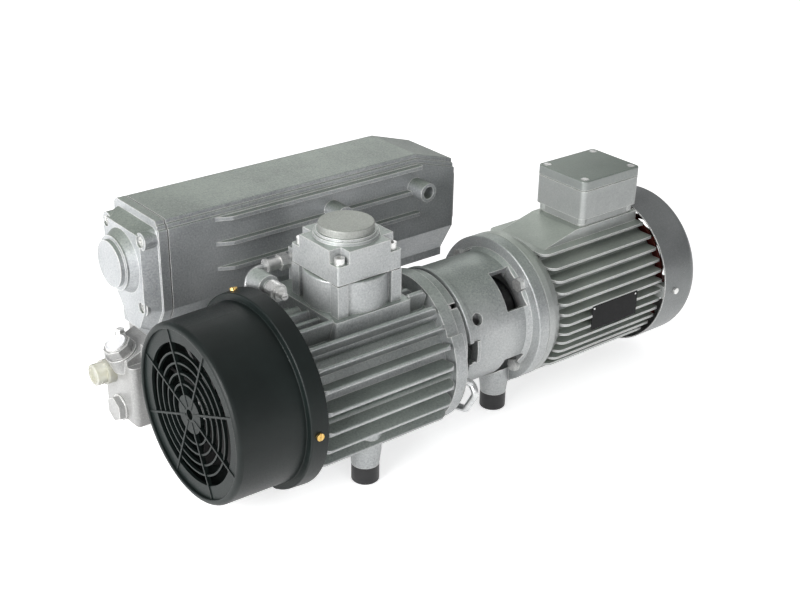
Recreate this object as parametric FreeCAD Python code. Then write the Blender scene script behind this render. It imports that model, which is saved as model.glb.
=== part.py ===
"""Oil-lubricated rotary vane vacuum pump with its flange motor, in millimetres.

X runs along the shaft from the fan guard to the motor, Y from the cylinder to the oil
separator box, and Z is up. The pieces are modelled round the shaft axis, with X = 0 on
the pump side of the bell housing's motor flange. They are then moved so that the origin
lies in the middle of the underside of the whole machine.
"""
import FreeCAD
import Part
import math
import os

from FreeCAD import Vector

# Fits between mating pieces
running_gap = 0.03
rotor_end_gap = 0.1
vane_gap = 0.05
plug_gap = 0.05
bolt_gap = 0.5
cut_margin = 1.0

# Height of the shaft and the rubber feet
shaft_height = 130.0
foot_radius = 17.5
foot_height = 24.0
foot_edge = 2.5
foot_boss_radius = 20.0
foot_boss_height = 20.0
foot_stud_radius = 4.0
foot_stud_length = 14.0
cylinder_foot_x = -260.0
cylinder_foot_y = -70.0
bell_foot_x = -12.0
bell_foot_y = -30.0
sump_front_foot_x = -372.0
sump_rear_foot_x = -118.0
sump_foot_y = 205.0

# Pump cylinder, rotor and vanes
bore_radius = 70.0
cylinder_wall = 11.0
cylinder_length = 203.0
rotor_radius = 57.0
rotor_gap = 0.06
vane_count = 3
vane_first_angle = 30.0
vane_thickness = 8.0
vane_depth = 36.0
vane_top_gap = 0.4
journal_radius = 15.0
journal_length = 40.0
fan_shaft_radius = 12.0
bearing_wall = 5.0
bearing_length = 16.0
seal_wall = 8.0
seal_length = 6.0

# Cooling ribs of the cylinder, spaced by angle about the bore
rib_pitch = 14.0
rib_first_angle = 58.0
rib_count = 19
rib_radius = 110.0
rib_top_radius = 94.0
rib_top_angle = 107.0
rib_low_radius = 92.0
rib_low_angle = 216.0
rib_tip_thickness = 5.0
rib_root_thickness = 10.0
rib_root_radius = 78.0
rib_edge = 2.0
rib_end_round = 12.0
rib_setback = 5.0

# End plates of the cylinder and their bolts
front_plate_thickness = 26.0
front_plate_radius = 106.0
front_hub_length = 8.0
rear_plate_thickness = 18.0
rear_disc_radius = 88.0
rear_lobe_radius = 101.0
rear_lobe_start = 150.0
rear_lobe_end = 380.0
collar_radius = 83.0
collar_length = 19.0
collar_groove_radius = 78.5
collar_groove_length = 4.0
collar_wall = 9.0
rear_hub_length = 12.0
hub_radius = 34.0
shaft_relief = 1.5
plate_bolt_radius = 4.0
plate_bolt_circle = 86.5
plate_bolt_boss = 7.5
plate_bolt_count = 6
plate_bolt_ribs = 4
plate_bolt_depth = 22.0
socket_head_factor = 1.6
socket_head_height = 6.0

# Fan guard, a moulded drum with a ring grille on its front
guard_length = 112.5
guard_overlap = 19.0
guard_front_radius = 111.0
guard_barrel_radius = 113.0
guard_step_radius = 122.3
guard_rear_radius = 123.8
guard_step_length = 23.6
guard_low_z = -114.0
guard_wall = 2.8
guard_rim_round = 6.0
guard_rim_width = 8.0
guard_recess_depth = 4.0
guard_recess_width = 16.0
grille_ring_count = 4
grille_ring_width = 2.4
grille_depth = 4.0
grille_hub_radius = 24.0
grille_hub_hole = 6.5
grille_hub_rise = 0.6
grille_spoke_count = 8
grille_spoke_width = 2.6
grille_spoke_rise = 1.2
grille_spoke_angle = 22.5
guard_screw_radius = 2.5
guard_screw_head = 4.8
guard_screw_height = 3.2
guard_screw_length = 13.0
guard_screw_inset = 14.0
guard_screw_angles = [182.0, 68.0, 305.0]
guard_lug_width = 22.0
guard_lug_length = 20.0
guard_lug_lead = 1.0
guard_lug_root = 8.0
guard_lug_gap = 3.0

# Pump cooling fan
fan_hub_radius = 22.0
fan_hub_taper = 3.0
fan_hub_length = 52.0
fan_seat_gap = 16.0
fan_radius = 96.0
fan_blade_count = 9
fan_blade_length = 44.0
fan_blade_thickness = 3.0
fan_blade_pitch = 32.0
fan_screw_radius = 4.0
fan_screw_flats = 13.0
fan_screw_head = 5.3
fan_screw_depth = 18.0
fan_washer_radius = 14.0
fan_washer_thickness = 2.5
shaft_end_gap = 3.0

# Platform on the cylinder and the inlet assembly on it
platform_height = 85.0
platform_left = -289.0
platform_right = -176.0
platform_front = -51.0
platform_back = 84.0
platform_thickness = 30.0
inlet_x = -233.0
inlet_y = 4.0
port_radius = 20.0
drum_radius = 52.5
drum_height = 41.0
column_width = 15.0
flange_side = 94.5
flange_height = 40.0
flange_gasket = 1.0
pocket_width = 17.0
pocket_depth = 16.0
neck_radius = 40.0
neck_height = 4.0
neck_step_radius = 37.0
neck_step_height = 3.0
neck_bore_radius = 22.0
cap_radius = 34.0
cap_height = 9.0
cap_edge = 1.5
cap_plug_length = 12.0
chamber_radius = 30.0
valve_head_room = 17.0
inlet_bolt_radius = 4.0
inlet_bolt_inset = 9.0
inlet_bolt_depth = 16.0
valve_plate_radius = 25.0
valve_plate_thickness = 3.0
valve_stem_radius = 4.0
valve_travel = 6.0
valve_bridge_height = 10.0
valve_bridge_width = 8.0

# Gas ballast valve between guard and platform
ballast_x = -325.0
ballast_z = 111.0
ballast_back = 62.0
ballast_body_radius = 14.5
ballast_body_length = 28.0
ballast_neck_radius = 8.5
ballast_neck_length = 6.0
ballast_knob_radius = 11.5
ballast_knob_length = 20.0
ballast_stud_radius = 4.5
ballast_stud_length = 8.0
ballast_saddle_width = 20.0

# Oil lines
pipe_radius = 4.4
pipe_bend = 18.0
oil_line_y = 95.0
oil_line_z = 106.0
oil_boss_left = -247.0
oil_boss_size = 24.0
union_left = -290.0
union_hex_left = -270.0
union_right = -258.0
union_flats = 19.0
union_body_radius = 8.0
union_ring_radius = 9.5
union_ring_length = 3.0
union_thread_radius = 6.0
oil_leg_x = -317.0
return_x = -111.0
return_bend = 9.0
return_radius = 4.8

# Bell housing between pump and motor
bell_length = 105.0
bell_radius = 81.5
bell_wall = 8.0
bell_rim_radius = 84.5
bell_rim_length = 6.5
bell_flange_radius = 100.0
bell_flange_thickness = 17.4
bell_flare = 4.0
bell_window_length = 35.0
bell_window_gap = 2.0
bell_window_span = 40.0
bell_bolt_count = 4
bell_bolt_circle = 82.5
bell_bolt_radius = 5.0
bell_bolt_flats = 16.0
bell_bolt_head = 7.0
bell_washer = 1.6
bell_notch_z = -1.0
bell_notch_height = 30.0
bell_notch_depth = 12.0
bell_lip_width = 5.0
bell_lip_rise = 3.0
bell_hole_radius = 8.0
bell_hole_angle = 152.0
bell_hole_from_flange = 85.0
spigot_radius = 65.0
spigot_depth = 3.5
spigot_lip = 4.0

# Coupling with its elastomer spider
coupling_radius = 38.0
drive_shaft_radius = 14.0
spider_left = -34.0
spider_length = 20.0
spider_core_radius = 16.5
spider_hole_radius = 10.0
spider_arm_count = 6
spider_arm_width = 13.0
hub_length = 27.0
coupling_gap = 0.2
claw_tip_gap = 1.0
claw_core_gap = 0.5

# Motor
motor_flange_radius = 100.0
motor_flange_thickness = 11.0
shield_length = 14.0
shield_radius = 92.0
frame_length = 190.0
frame_radius = 84.0
frame_wall = 7.0
fin_radius = 101.0
fin_pitch = 14.0
fin_rows_above = 6
fin_rows_below = 5
low_fin_count = 7
fin_thickness = 3.4
fin_round = 12.0
fin_end_round = 3.0
motor_bearing_radius = 31.0
motor_bearing_width = 16.0
bearing_wall_radius = 41.0
motor_neck_radius = 18.0
cage_radius = 46.0
cage_length = 110.0
air_gap = 0.4
stator_length = 106.0
winding_length = 22.0
winding_gap = 7.0
pad_height = 100.0
pad_half_width = 42.0
pad_slope_drop = 16.0
pad_start = 6.0
end_shield_thickness = 9.0

# Terminal box
terminal_x = 119.6
terminal_length = 107.0
terminal_half_width = 44.8
terminal_top = 165.6
lid_height = 13.0
lid_gasket = 0.8
terminal_corner = 7.0
terminal_wall = 3.5
terminal_neck_inset = 5.0
terminal_neck_height = 12.0
terminal_floor = 4.0
lead_passage_length = 67.0
lead_passage_width = 40.0
lid_edge = 1.6
gland_radius = 12.5
gland_rise = 29.0
lid_screw_radius = 2.5
lid_screw_head = 4.5
lid_screw_height = 2.8
lid_screw_inset = 9.5
lid_screw_length = 14.0
lid_post_radius = 6.5
block_width = 44.0
block_depth = 10.0
block_height = 16.0
block_stud_radius = 2.0
block_stud_length = 10.0
block_stud_count = 3

# Motor fan and its cover
cover_x = 230.7
cover_length = 69.3
cover_radius = 107.7
cover_wall = 1.6
cover_round = 18.0
motor_fan_radius = 88.0
motor_fan_length = 26.0
motor_fan_blades = 8
motor_fan_hub = 24.0
motor_fan_gap = 2.0
cover_screw_radius = 2.5
cover_screw_head = 4.5
cover_screw_height = 3.0
cover_screw_length = 13.0
cover_screw_count = 4
cover_screw_angle = 182.0
cover_screw_x = 252.0
cover_lug_width = 18.0
slot_rows = [(34.0, 8), (50.0, 10), (66.0, 12)]
slot_width = 9.0
slot_bridge = 5.0

# Rating plate, bare
plate_x = 95.0
plate_length = 87.0
plate_height = 35.0
plate_z = -3.5
plate_thickness = 0.8
plate_sink = 1.5

# Oil separator box
box_left = -393.0
box_length = 450.3
box_front = 144.8
box_back = 254.4
box_top = 175.5
box_wall = 6.0
box_step = 5.5
box_step_run = 3.2
box_slope_length = 65.0
box_slope_drop = 19.7
box_front_bottom = 58.5
box_chamfer_y = 168.0
box_chamfer_z = 17.0
box_floor_z = 5.0
box_round = 10.0
box_right_wall = 9.0
box_split_z = 140.0
fin_levels = [160.5, 127.5, 94.0]
fin_left_end = 65.0
fin_right_ends = [-5.0, -14.0, -8.0]
fin_depth = 9.0
fin_height = 5.0
fin_point = 20.0
boss_radius = 13.0
boss_length = 29.0
boss_z = 131.5
gauge_x = -12.0
plain_boss_x = -151.5
gauge_thread_radius = 8.3
gauge_thread_depth = 16.0

# End cover of the separator box and its blank exhaust boss
cover_gasket_thickness = 1.5
cover_gasket_width = 18.0
gasket_inset = 1.0
cover_flange_thickness = 12.0
cover_dish_depth = 20.0
cover_dish_inset = 12.0
cover_dish_wall = 7.0
cover_neck_y = 200.0
cover_chamfer_z = 88.0
exhaust_y = 203.0
exhaust_z = 112.0
exhaust_cone_radius = 42.0
exhaust_cone_length = 10.0
exhaust_ring_radius = 35.0
exhaust_ring_length = 3.0
exhaust_disc_radius = 30.0
exhaust_disc_length = 6.0
cover_boss_radius = 11.0
cover_boss_length = 17.5
cover_bolt_radius = 4.0
cover_bolt_depth = 14.0
cover_bolt_inset = 13.0
cover_low_inset = 20.0
cover_low_rise = 3.0
cover_back_rise = 40.0
cover_boss_count = 3
rear_cover_thickness = 8.0
rear_cover_inset = 8.0

# Exhaust filter
filter_radius = 32.0
filter_bore = 16.0
filter_length = 250.0
filter_cap = 5.0
filter_rim = 2.0
filter_end_gap = 26.0
filter_screen_z = 70.0
filter_y = 200.0
filter_z = 120.0

# Oil sump
sump_left = -446.0
sump_right = -60.0
sump_front = 168.0
sump_back = 248.0
sump_bottom = -106.0
sump_wall = 8.0
sump_ledge_z = -21.0
sump_ledge_x = -425.0
sump_corner = 9.0
slope_front = 179.0
slope_back = 232.0
slope_end_z = -14.0
slope_run = 42.0
plug_centre_run = 6.0
plug_boss_radius = 21.0
plug_boss_depth = 22.0
plug_boss_rise = 3.0
fill_plug_flats = 34.0
fill_plug_height = 12.0
fill_disc_radius = 14.5
fill_disc_height = 2.0
fill_thread_radius = 10.0
fill_thread_length = 6.0
sight_y = 224.0
sight_z = -44.0
sight_radius = 16.5
sight_base_length = 12.0
sight_barrel_radius = 14.5
sight_length = 26.0
sight_thread_radius = 11.0
sight_window_radius = 11.0
sight_window_depth = 4.0
drain_z = -89.0
drain_flats = 30.0
drain_length = 12.0
drain_collar_radius = 17.5
drain_collar_length = 3.0
drain_thread_radius = 10.0
plug_thread_length = 12.0
port_left = -330.0
port_right = -165.0
port_bottom = -62.0
port_top = 4.0
exhaust_bore_radius = 9.0
exhaust_bore_z = -30.0
exhaust_bore_count = 3
exhaust_bore_spacing = 52.0

# Places along the shaft, left to right
bell_left = -bell_length
collar_left = bell_left - collar_length
cylinder_right = collar_left - rear_plate_thickness
cylinder_left = cylinder_right - cylinder_length
front_plate_left = cylinder_left - front_plate_thickness
guard_rear = front_plate_left + guard_overlap
guard_front = guard_rear - guard_length
guard_screw_x = guard_rear - guard_screw_inset
guard_taper = (guard_rear_radius - guard_step_radius) / guard_step_length
guard_screw_seat = guard_rear_radius - guard_taper * (guard_screw_inset - guard_screw_head)
fan_right = front_plate_left - fan_seat_gap
fan_left = fan_right - fan_hub_length
shaft_left = fan_left + shaft_end_gap
spider_right = spider_left + spider_length
pump_hub_right = spider_left - coupling_gap
motor_hub_left = spider_right + coupling_gap
motor_face = bell_flange_thickness
frame_left = motor_face + motor_flange_thickness + shield_length
frame_right = frame_left + frame_length
frame_middle = (frame_left + frame_right) / 2
end_shield_right = frame_right + end_shield_thickness
cover_end = cover_x + cover_length
motor_fan_left = end_shield_right + motor_fan_gap
box_right = box_left + box_length
cover_flange_right = box_left - cover_gasket_thickness
cover_flange_left = cover_flange_right - cover_flange_thickness
dish_left = cover_flange_left - cover_dish_depth

# Eccentric bore: the rotor all but touches its top
eccentricity = bore_radius - rotor_radius - rotor_gap
bore_z = -eccentricity
core_radius = bore_radius + cylinder_wall
ground_z = -shaft_height
foot_top = ground_z + foot_height

# Levels of the inlet assembly
drum_top = platform_height + drum_height
flange_bottom = drum_top + flange_gasket
flange_top = flange_bottom + flange_height
pocket_floor = flange_top - pocket_depth
neck_top = flange_top + neck_height + neck_step_height
chamber_floor = drum_top - valve_plate_thickness - valve_travel - valve_head_room
flange_half = flange_side / 2

# Levels of the terminal box
terminal_right = terminal_x + terminal_length
terminal_middle = (terminal_x + terminal_right) / 2
plate_seat = fin_radius - plate_sink
lid_bottom = terminal_top - lid_height
terminal_base_top = lid_bottom - lid_gasket
gland_z = pad_height + gland_rise

# Steps of the separator box and its front bosses
box_front_top = box_top - 2 * box_step
gauge_mouth = box_front - boss_length
slope_x = box_right - box_slope_length

# Slanted seat of the oil fill plug
slope_angle = math.degrees(math.atan2(box_floor_z - slope_end_z, slope_run))


def block(x0, x1, y0, y1, z0, z1):
    """Rectangular block between two corners."""
    return Part.makeBox(x1 - x0, y1 - y0, z1 - z0, Vector(x0, y0, z0))


def rod_x(radius, x0, x1, y=0.0, z=0.0):
    """Solid cylinder along X."""
    return Part.makeCylinder(radius, x1 - x0, Vector(x0, y, z), Vector(1, 0, 0))


def rod_y(radius, y0, y1, x, z):
    """Solid cylinder along Y."""
    return Part.makeCylinder(radius, y1 - y0, Vector(x, y0, z), Vector(0, 1, 0))


def rod_z(radius, z0, z1, x, y):
    """Solid cylinder along Z."""
    return Part.makeCylinder(radius, z1 - z0, Vector(x, y, z0), Vector(0, 0, 1))


def tube_x(outer, inner, x0, x1, y=0.0, z=0.0):
    """Hollow cylinder along X."""
    return rod_x(outer, x0, x1, y, z).cut(rod_x(inner, x0 - cut_margin, x1 + cut_margin, y, z))


def cone_z(r0, r1, z0, z1, x, y):
    """Tapered boss along Z, from radius r0 at z0 to r1 at z1."""
    return Part.makeCone(r0, r1, z1 - z0, Vector(x, y, z0), Vector(0, 0, 1))


def fuse(first, *others):
    """One solid from several that overlap or touch."""
    return first.fuse(list(others)).removeSplitter()


def turn(shape, angle, y=0.0, z=0.0):
    """Copy of a shape turned about the X direction through (y, z)."""
    return shape.rotated(Vector(0, y, z), Vector(1, 0, 0), angle)


def turned_to(shape, angles, y=0.0, z=0.0):
    """Copies of a shape built along +Y, each turned to an angle about the X direction."""
    return [turn(shape, angle, y, z) for angle in angles]


def spread(count, first=0.0):
    """Evenly spaced angles."""
    return [first + 360.0 / count * k for k in range(count)]


def around(radius, angle, y=0.0, z=0.0):
    """The (y, z) place at an angle about a line along X."""
    turned_by = math.radians(angle)
    return (y + radius * math.cos(turned_by), z + radius * math.sin(turned_by))


def loop(points, radius, place):
    """Closed wire of straight sides with a tangent arc at each corner.

    The radius is one value or a list with one for each point, and place turns a flat
    point into one in space.
    """
    count = len(points)
    radii = radius if isinstance(radius, list) else [radius] * count
    flat = [Vector(u, v, 0) for u, v in points]
    starts = []
    arcs = []
    ends = []
    for k in range(count):
        corner = flat[k]
        if radii[k] <= 0:
            starts.append(corner)
            ends.append(corner)
            arcs.append(None)
            continue
        back = (flat[k - 1] - corner).normalize()
        ahead = (flat[(k + 1) % count] - corner).normalize()
        half = back.getAngle(ahead) / 2.0
        reach = radii[k] / math.tan(half)
        middle = corner + (back + ahead).normalize() * (radii[k] / math.sin(half))
        starts.append(corner + back * reach)
        ends.append(corner + ahead * reach)
        arcs.append(middle + (corner - middle).normalize() * radii[k])
    edges = []
    for k in range(count):
        if arcs[k] is not None:
            edges.append(Part.Arc(place(starts[k]), place(arcs[k]), place(ends[k])).toShape())
        following = starts[(k + 1) % count]
        if ends[k].distanceToPoint(following) > 1e-6:
            edges.append(Part.LineSegment(place(ends[k]), place(following)).toShape())
    return Part.Wire(edges)


def wire_x(points, radius, x):
    """Closed wire of (y, z) points at one X."""
    return loop(points, radius, lambda p: Vector(x, p.x, p.y))


def prism_x(points, radius, x0, x1):
    """Outline of (y, z) points pushed along X."""
    return Part.Face(wire_x(points, radius, x0)).extrude(Vector(x1 - x0, 0, 0))


def prism_y(points, radius, y0, y1):
    """Outline of (x, z) points pushed along Y."""
    wire = loop(points, radius, lambda p: Vector(p.x, y0, p.y))
    return Part.Face(wire).extrude(Vector(0, y1 - y0, 0))


def prism_z(points, radius, z0, z1):
    """Outline of (x, y) points pushed along Z."""
    wire = loop(points, radius, lambda p: Vector(p.x, p.y, z0))
    return Part.Face(wire).extrude(Vector(0, 0, z1 - z0))


def rectangle(u0, u1, v0, v1):
    """Corners of a rectangle, for the prisms."""
    return [(u0, v0), (u1, v0), (u1, v1), (u0, v1)]


def square(u, v, half):
    """Corners of a square about its middle."""
    return rectangle(u - half, u + half, v - half, v + half)


def polygon(sides, flats, u=0.0, v=0.0, first=0.0):
    """Corners of a regular polygon by its width across flats."""
    radius = flats / 2.0 / math.cos(math.pi / sides)
    steps = [math.radians(first) + 2 * math.pi * k / sides for k in range(sides)]
    return [(u + radius * math.cos(a), v + radius * math.sin(a)) for a in steps]


def sector(radius, start, end, y=0.0, z=0.0):
    """Outline of (y, z) points that holds the part of a disc between two angles."""
    steps = max(2, math.ceil((end - start) / 60.0))
    reach = radius / math.cos(math.radians((end - start) / steps / 2)) + cut_margin
    angles = [start + (end - start) * k / steps for k in range(steps + 1)]
    return [(y, z)] + [around(reach, angle, y, z) for angle in angles]


def turned(profile, radius=0.0):
    """Solid turned about the shaft axis from a closed outline of (x, r) points."""
    wire = loop(profile, radius, lambda p: Vector(p.x, 0, p.y))
    return Part.Face(wire).revolve(Vector(0, 0, 0), Vector(1, 0, 0), 360)


def bent_pipe(points, bend, radius):
    """Pipe along straight runs joined by tangent arcs."""
    stops = [Vector(*p) for p in points]
    edges = []
    start = stops[0]
    for k in range(1, len(stops) - 1):
        corner = stops[k]
        back = (stops[k - 1] - corner).normalize()
        ahead = (stops[k + 1] - corner).normalize()
        half = back.getAngle(ahead) / 2.0
        reach = bend / math.tan(half)
        middle = corner + (back + ahead).normalize() * (bend / math.sin(half))
        crown = middle + (corner - middle).normalize() * bend
        edges.append(Part.LineSegment(start, corner + back * reach).toShape())
        edges.append(Part.Arc(corner + back * reach, crown, corner + ahead * reach).toShape())
        start = corner + ahead * reach
    edges.append(Part.LineSegment(start, stops[-1]).toShape())
    direction = (stops[1] - stops[0]).normalize()
    section = Part.Wire(Part.makeCircle(radius, stops[0], direction))
    return Part.Wire(edges).makePipeShell([section], True, True)


def socket_screw_x(radius, seat, shank_end, y, z):
    """Socket-head screw along X that sits on a seat, its head away from the shank."""
    way = 1.0 if shank_end > seat else -1.0
    crown = seat - way * socket_head_height
    head = rod_x(radius * socket_head_factor, min(seat, crown), max(seat, crown), y, z)
    shank = rod_x(radius, min(seat, shank_end), max(seat, shank_end), y, z)
    floor = seat - way * socket_head_height / 2
    outside = crown - way * cut_margin
    socket = prism_x(polygon(6, radius * 1.5, y, z), 0.0, min(floor, outside), max(floor, outside))
    return fuse(head, shank).cut(socket)


# Cylinder

rib_angles = [rib_first_angle + rib_pitch * k for k in range(rib_count)]
plate_bolt_angles = [rib_first_angle + rib_pitch * (1 + plate_bolt_ribs * k) for k in range(plate_bolt_count)]
plate_bolt_places = [around(plate_bolt_circle, angle, 0.0, bore_z) for angle in plate_bolt_angles]
exhaust_bore_places = [
    (port_left + port_right) / 2 + exhaust_bore_spacing * (k - (exhaust_bore_count - 1) / 2)
    for k in range(exhaust_bore_count)
]


def cooling_rib(angle):
    """One radial rib of the cylinder, tapered to its tip and rounded at both ends."""
    tip = rib_radius
    if angle < rib_top_angle:
        tip = rib_top_radius
    if angle > rib_low_angle:
        tip = rib_low_radius
    x0 = cylinder_left
    x1 = cylinder_right - rib_setback
    root = rib_root_thickness / 2
    edge = rib_tip_thickness / 2
    section = [(rib_root_radius, -root), (tip, -edge), (tip, edge), (rib_root_radius, root)]
    rib = prism_x(section, [0, rib_edge, rib_edge, 0], x0, x1)
    side = [(x0, rib_root_radius), (x1, rib_root_radius), (x1, tip), (x0, tip)]
    round_end = min(rib_end_round, (tip - rib_root_radius) * 0.8)
    wire = loop(side, [0, 0, round_end, round_end], lambda p: Vector(p.x, p.y, -rib_root_thickness))
    envelope = Part.Face(wire).extrude(Vector(0, 0, 2 * rib_root_thickness))
    rib = rib.common(envelope)
    rib.translate(Vector(0, 0, bore_z))
    return turn(rib, angle, 0.0, bore_z)


def foot_boss(x, y, top):
    """Tapered boss above a rubber foot, carried up to a height."""
    cone_top = foot_top + foot_boss_height
    cone = cone_z(foot_radius, foot_boss_radius, foot_top, cone_top, x, y)
    return fuse(cone, rod_z(foot_boss_radius, cone_top, top, x, y))


def stud_hole(x, y):
    """Hole for the stud of a rubber foot."""
    return rod_z(foot_stud_radius, foot_top - cut_margin, foot_top + foot_stud_length, x, y)


def cylinder():
    """Ribbed pump body with inlet platform, exhaust port block and foot boss."""
    body = rod_x(core_radius, cylinder_left, cylinder_right, 0.0, bore_z)
    ribs = [cooling_rib(angle) for angle in rib_angles]
    bosses = [rod_x(plate_bolt_boss, cylinder_left, cylinder_right, y, z) for y, z in plate_bolt_places]
    top = prism_z(
        rectangle(platform_left, platform_right, platform_front, platform_back),
        3.0, platform_height - platform_thickness, platform_height)
    web = block(platform_left, platform_right, core_radius / 2, platform_back, port_top, platform_height - 5.0)
    port = prism_x(rectangle(core_radius / 2, sump_front, port_bottom, port_top), 5.0, port_left, port_right)
    oil_boss = block(
        oil_boss_left, oil_boss_left + oil_boss_size, platform_back - 10.0, oil_line_y + oil_boss_size / 2,
        platform_height - platform_thickness, oil_line_z + oil_boss_size / 2)
    saddle = block(
        ballast_x - ballast_saddle_width / 2, ballast_x + ballast_saddle_width / 2,
        ballast_back - ballast_body_length, ballast_back, core_radius / 2, ballast_z)
    clear = block(platform_left, platform_right, -rib_radius, platform_back, platform_height, platform_height + rib_radius)
    floor = block(cylinder_left, cylinder_right, -rib_radius, rib_radius, ground_z, foot_top)
    body = fuse(body, *(ribs + bosses)).cut([clear, floor])
    foot = foot_boss(cylinder_foot_x, cylinder_foot_y, bore_z - 40.0)
    body = fuse(body, top, web, port, oil_boss, saddle, foot)
    cuts = [rod_x(bore_radius, cylinder_left - cut_margin, cylinder_right + cut_margin, 0.0, bore_z)]
    cuts.append(rod_z(port_radius, 0.0, platform_height + cut_margin, inlet_x, inlet_y))
    for x in exhaust_bore_places:
        cuts.append(rod_y(exhaust_bore_radius, core_radius / 2, sump_front + cut_margin, x, exhaust_bore_z))
    for y, z in plate_bolt_places:
        cuts.append(rod_x(plate_bolt_radius, cylinder_left - cut_margin, cylinder_left + plate_bolt_depth, y, z))
        cuts.append(rod_x(plate_bolt_radius, cylinder_right - plate_bolt_depth, cylinder_right + cut_margin, y, z))
    for x, y in inlet_bolt_places:
        cuts.append(rod_z(inlet_bolt_radius, platform_height - inlet_bolt_depth, platform_height + cut_margin, x, y))
    cuts.append(stud_hole(cylinder_foot_x, cylinder_foot_y))
    cuts.append(rod_x(union_thread_radius, oil_boss_left - cut_margin, oil_boss_left + 12.0, oil_line_y, oil_line_z))
    cuts.append(rod_y(ballast_body_radius, platform_front, ballast_back + cut_margin, ballast_x, ballast_z))
    cuts.append(rod_z(pipe_radius, port_top - 10.0, port_top + cut_margin, oil_leg_x, oil_line_y))
    return body.cut(cuts)


# End plates

def shaft_cuts(bearing_x0, bearing_x1, seal_x0, seal_x1, x0, x1):
    """Seats for a bearing and a shaft seal, and the passage for the journal."""
    return [
        rod_x(journal_radius + bearing_wall, bearing_x0, bearing_x1),
        rod_x(journal_radius + seal_wall, seal_x0, seal_x1),
        rod_x(journal_radius + shaft_relief, x0, x1),
    ]


front_hub_left = front_plate_left - front_hub_length
front_seal_right = front_hub_left + seal_length
rear_hub_right = collar_left + rear_hub_length
rear_seal_left = rear_hub_right - seal_length


def front_plate():
    """Fan-side end plate with bearing seat and the lugs that carry the guard."""
    plate = rod_x(front_plate_radius, front_plate_left, cylinder_left)
    rim = [edge for edge in plate.Edges if edge.BoundBox.XMax < front_plate_left + 0.01]
    plate = plate.makeFillet(3.0, rim)
    tip = guard_rear_radius - guard_wall - guard_lug_gap
    lug_left = front_plate_left - guard_lug_lead
    lug = block(
        lug_left, lug_left + guard_lug_length, front_plate_radius - guard_lug_root, tip,
        -guard_lug_width / 2, guard_lug_width / 2)
    hub = rod_x(hub_radius, front_hub_left, front_plate_left + cut_margin)
    plate = fuse(plate, hub, *turned_to(lug, guard_screw_angles))
    cuts = shaft_cuts(
        cylinder_left - bearing_length, cylinder_left + cut_margin, front_hub_left - cut_margin, front_seal_right,
        front_hub_left - cut_margin, cylinder_left + cut_margin)
    for y, z in plate_bolt_places:
        cuts.append(rod_x(plate_bolt_radius + bolt_gap, front_plate_left - 5.0, cylinder_left + cut_margin, y, z))
    hole = rod_y(guard_screw_radius, guard_screw_seat - guard_screw_length, tip + cut_margin, guard_screw_x, 0.0)
    return plate.cut(cuts + turned_to(hole, guard_screw_angles))


def rear_plate():
    """Coupling-side end plate with a collar that centres the bell housing."""
    disc = rod_x(rear_disc_radius, cylinder_right, collar_left)
    lobe = rod_x(rear_lobe_radius, cylinder_right, collar_left, 0.0, bore_z)
    part = prism_x(sector(rear_lobe_radius, rear_lobe_start, rear_lobe_end, 0.0, bore_z), 0.0, cylinder_right, collar_left)
    floor = block(cylinder_right, collar_left, -rib_radius, rib_radius, ground_z, foot_top)
    inside = collar_radius - collar_wall
    groove = bell_left - collar_groove_length
    collar = fuse(rod_x(collar_radius, collar_left - cut_margin, groove), rod_x(collar_groove_radius, groove, bell_left))
    plate = fuse(disc, lobe.common(part).cut(floor), collar)
    plate = plate.cut(rod_x(inside, collar_left, bell_left + cut_margin))
    plate = fuse(plate, rod_x(hub_radius, collar_left - cut_margin, rear_hub_right))
    cuts = shaft_cuts(
        cylinder_right - cut_margin, cylinder_right + bearing_length, rear_seal_left, rear_hub_right + cut_margin,
        cylinder_right - cut_margin, rear_hub_right + cut_margin)
    head = plate_bolt_radius * socket_head_factor + bolt_gap
    for y, z in plate_bolt_places:
        cuts.append(rod_x(plate_bolt_radius + bolt_gap, cylinder_right - cut_margin, collar_left + cut_margin, y, z))
        cuts.append(rod_x(head, collar_left, bell_left + cut_margin, y, z))
    return plate.cut(cuts)


def plate_bolts(seat, shank_end):
    """Ring of socket screws that hold one end plate to the cylinder."""
    return [socket_screw_x(plate_bolt_radius, seat, shank_end, y, z) for y, z in plate_bolt_places]


# Rotor, vanes, bearings and seals

rotor_left = cylinder_left + rotor_end_gap
rotor_right = cylinder_right - rotor_end_gap
vane_angles = spread(vane_count, vane_first_angle + 90.0)


def rotor():
    """Rotor and its two journals in one piece, with a slot for each vane."""
    drum = rod_x(rotor_radius, rotor_left, rotor_right)
    journals = rod_x(journal_radius, fan_right, rotor_right + journal_length)
    fan_end = rod_x(fan_shaft_radius, shaft_left, fan_right)
    drive_end = rod_x(drive_shaft_radius, rotor_right, pump_hub_right)
    body = fuse(drum, journals, fan_end, drive_end)
    half = vane_thickness / 2 + vane_gap
    floor = rotor_radius - vane_top_gap - vane_depth - vane_gap
    slot = block(rotor_left - cut_margin, rotor_right + cut_margin, floor, rotor_radius + cut_margin, -half, half)
    screw_hole = rod_x(fan_screw_radius, shaft_left - cut_margin, shaft_left + fan_screw_depth)
    return body.cut(turned_to(slot, vane_angles) + [screw_hole])


def vanes():
    """Carbon vanes, drawn back into their slots."""
    top = rotor_radius - vane_top_gap
    half = vane_thickness / 2
    vane = block(rotor_left + rotor_end_gap, rotor_right - rotor_end_gap, top - vane_depth, top, -half, half)
    return turned_to(vane, vane_angles)


def bearing(x0, x1):
    """Plain bearing bush for a journal."""
    return tube_x(journal_radius + bearing_wall, journal_radius + running_gap, x0, x1)


def shaft_seal(x0, x1):
    """Radial shaft seal ring."""
    return tube_x(journal_radius + seal_wall, journal_radius + running_gap, x0, x1)


# Pump fan and its guard

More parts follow.
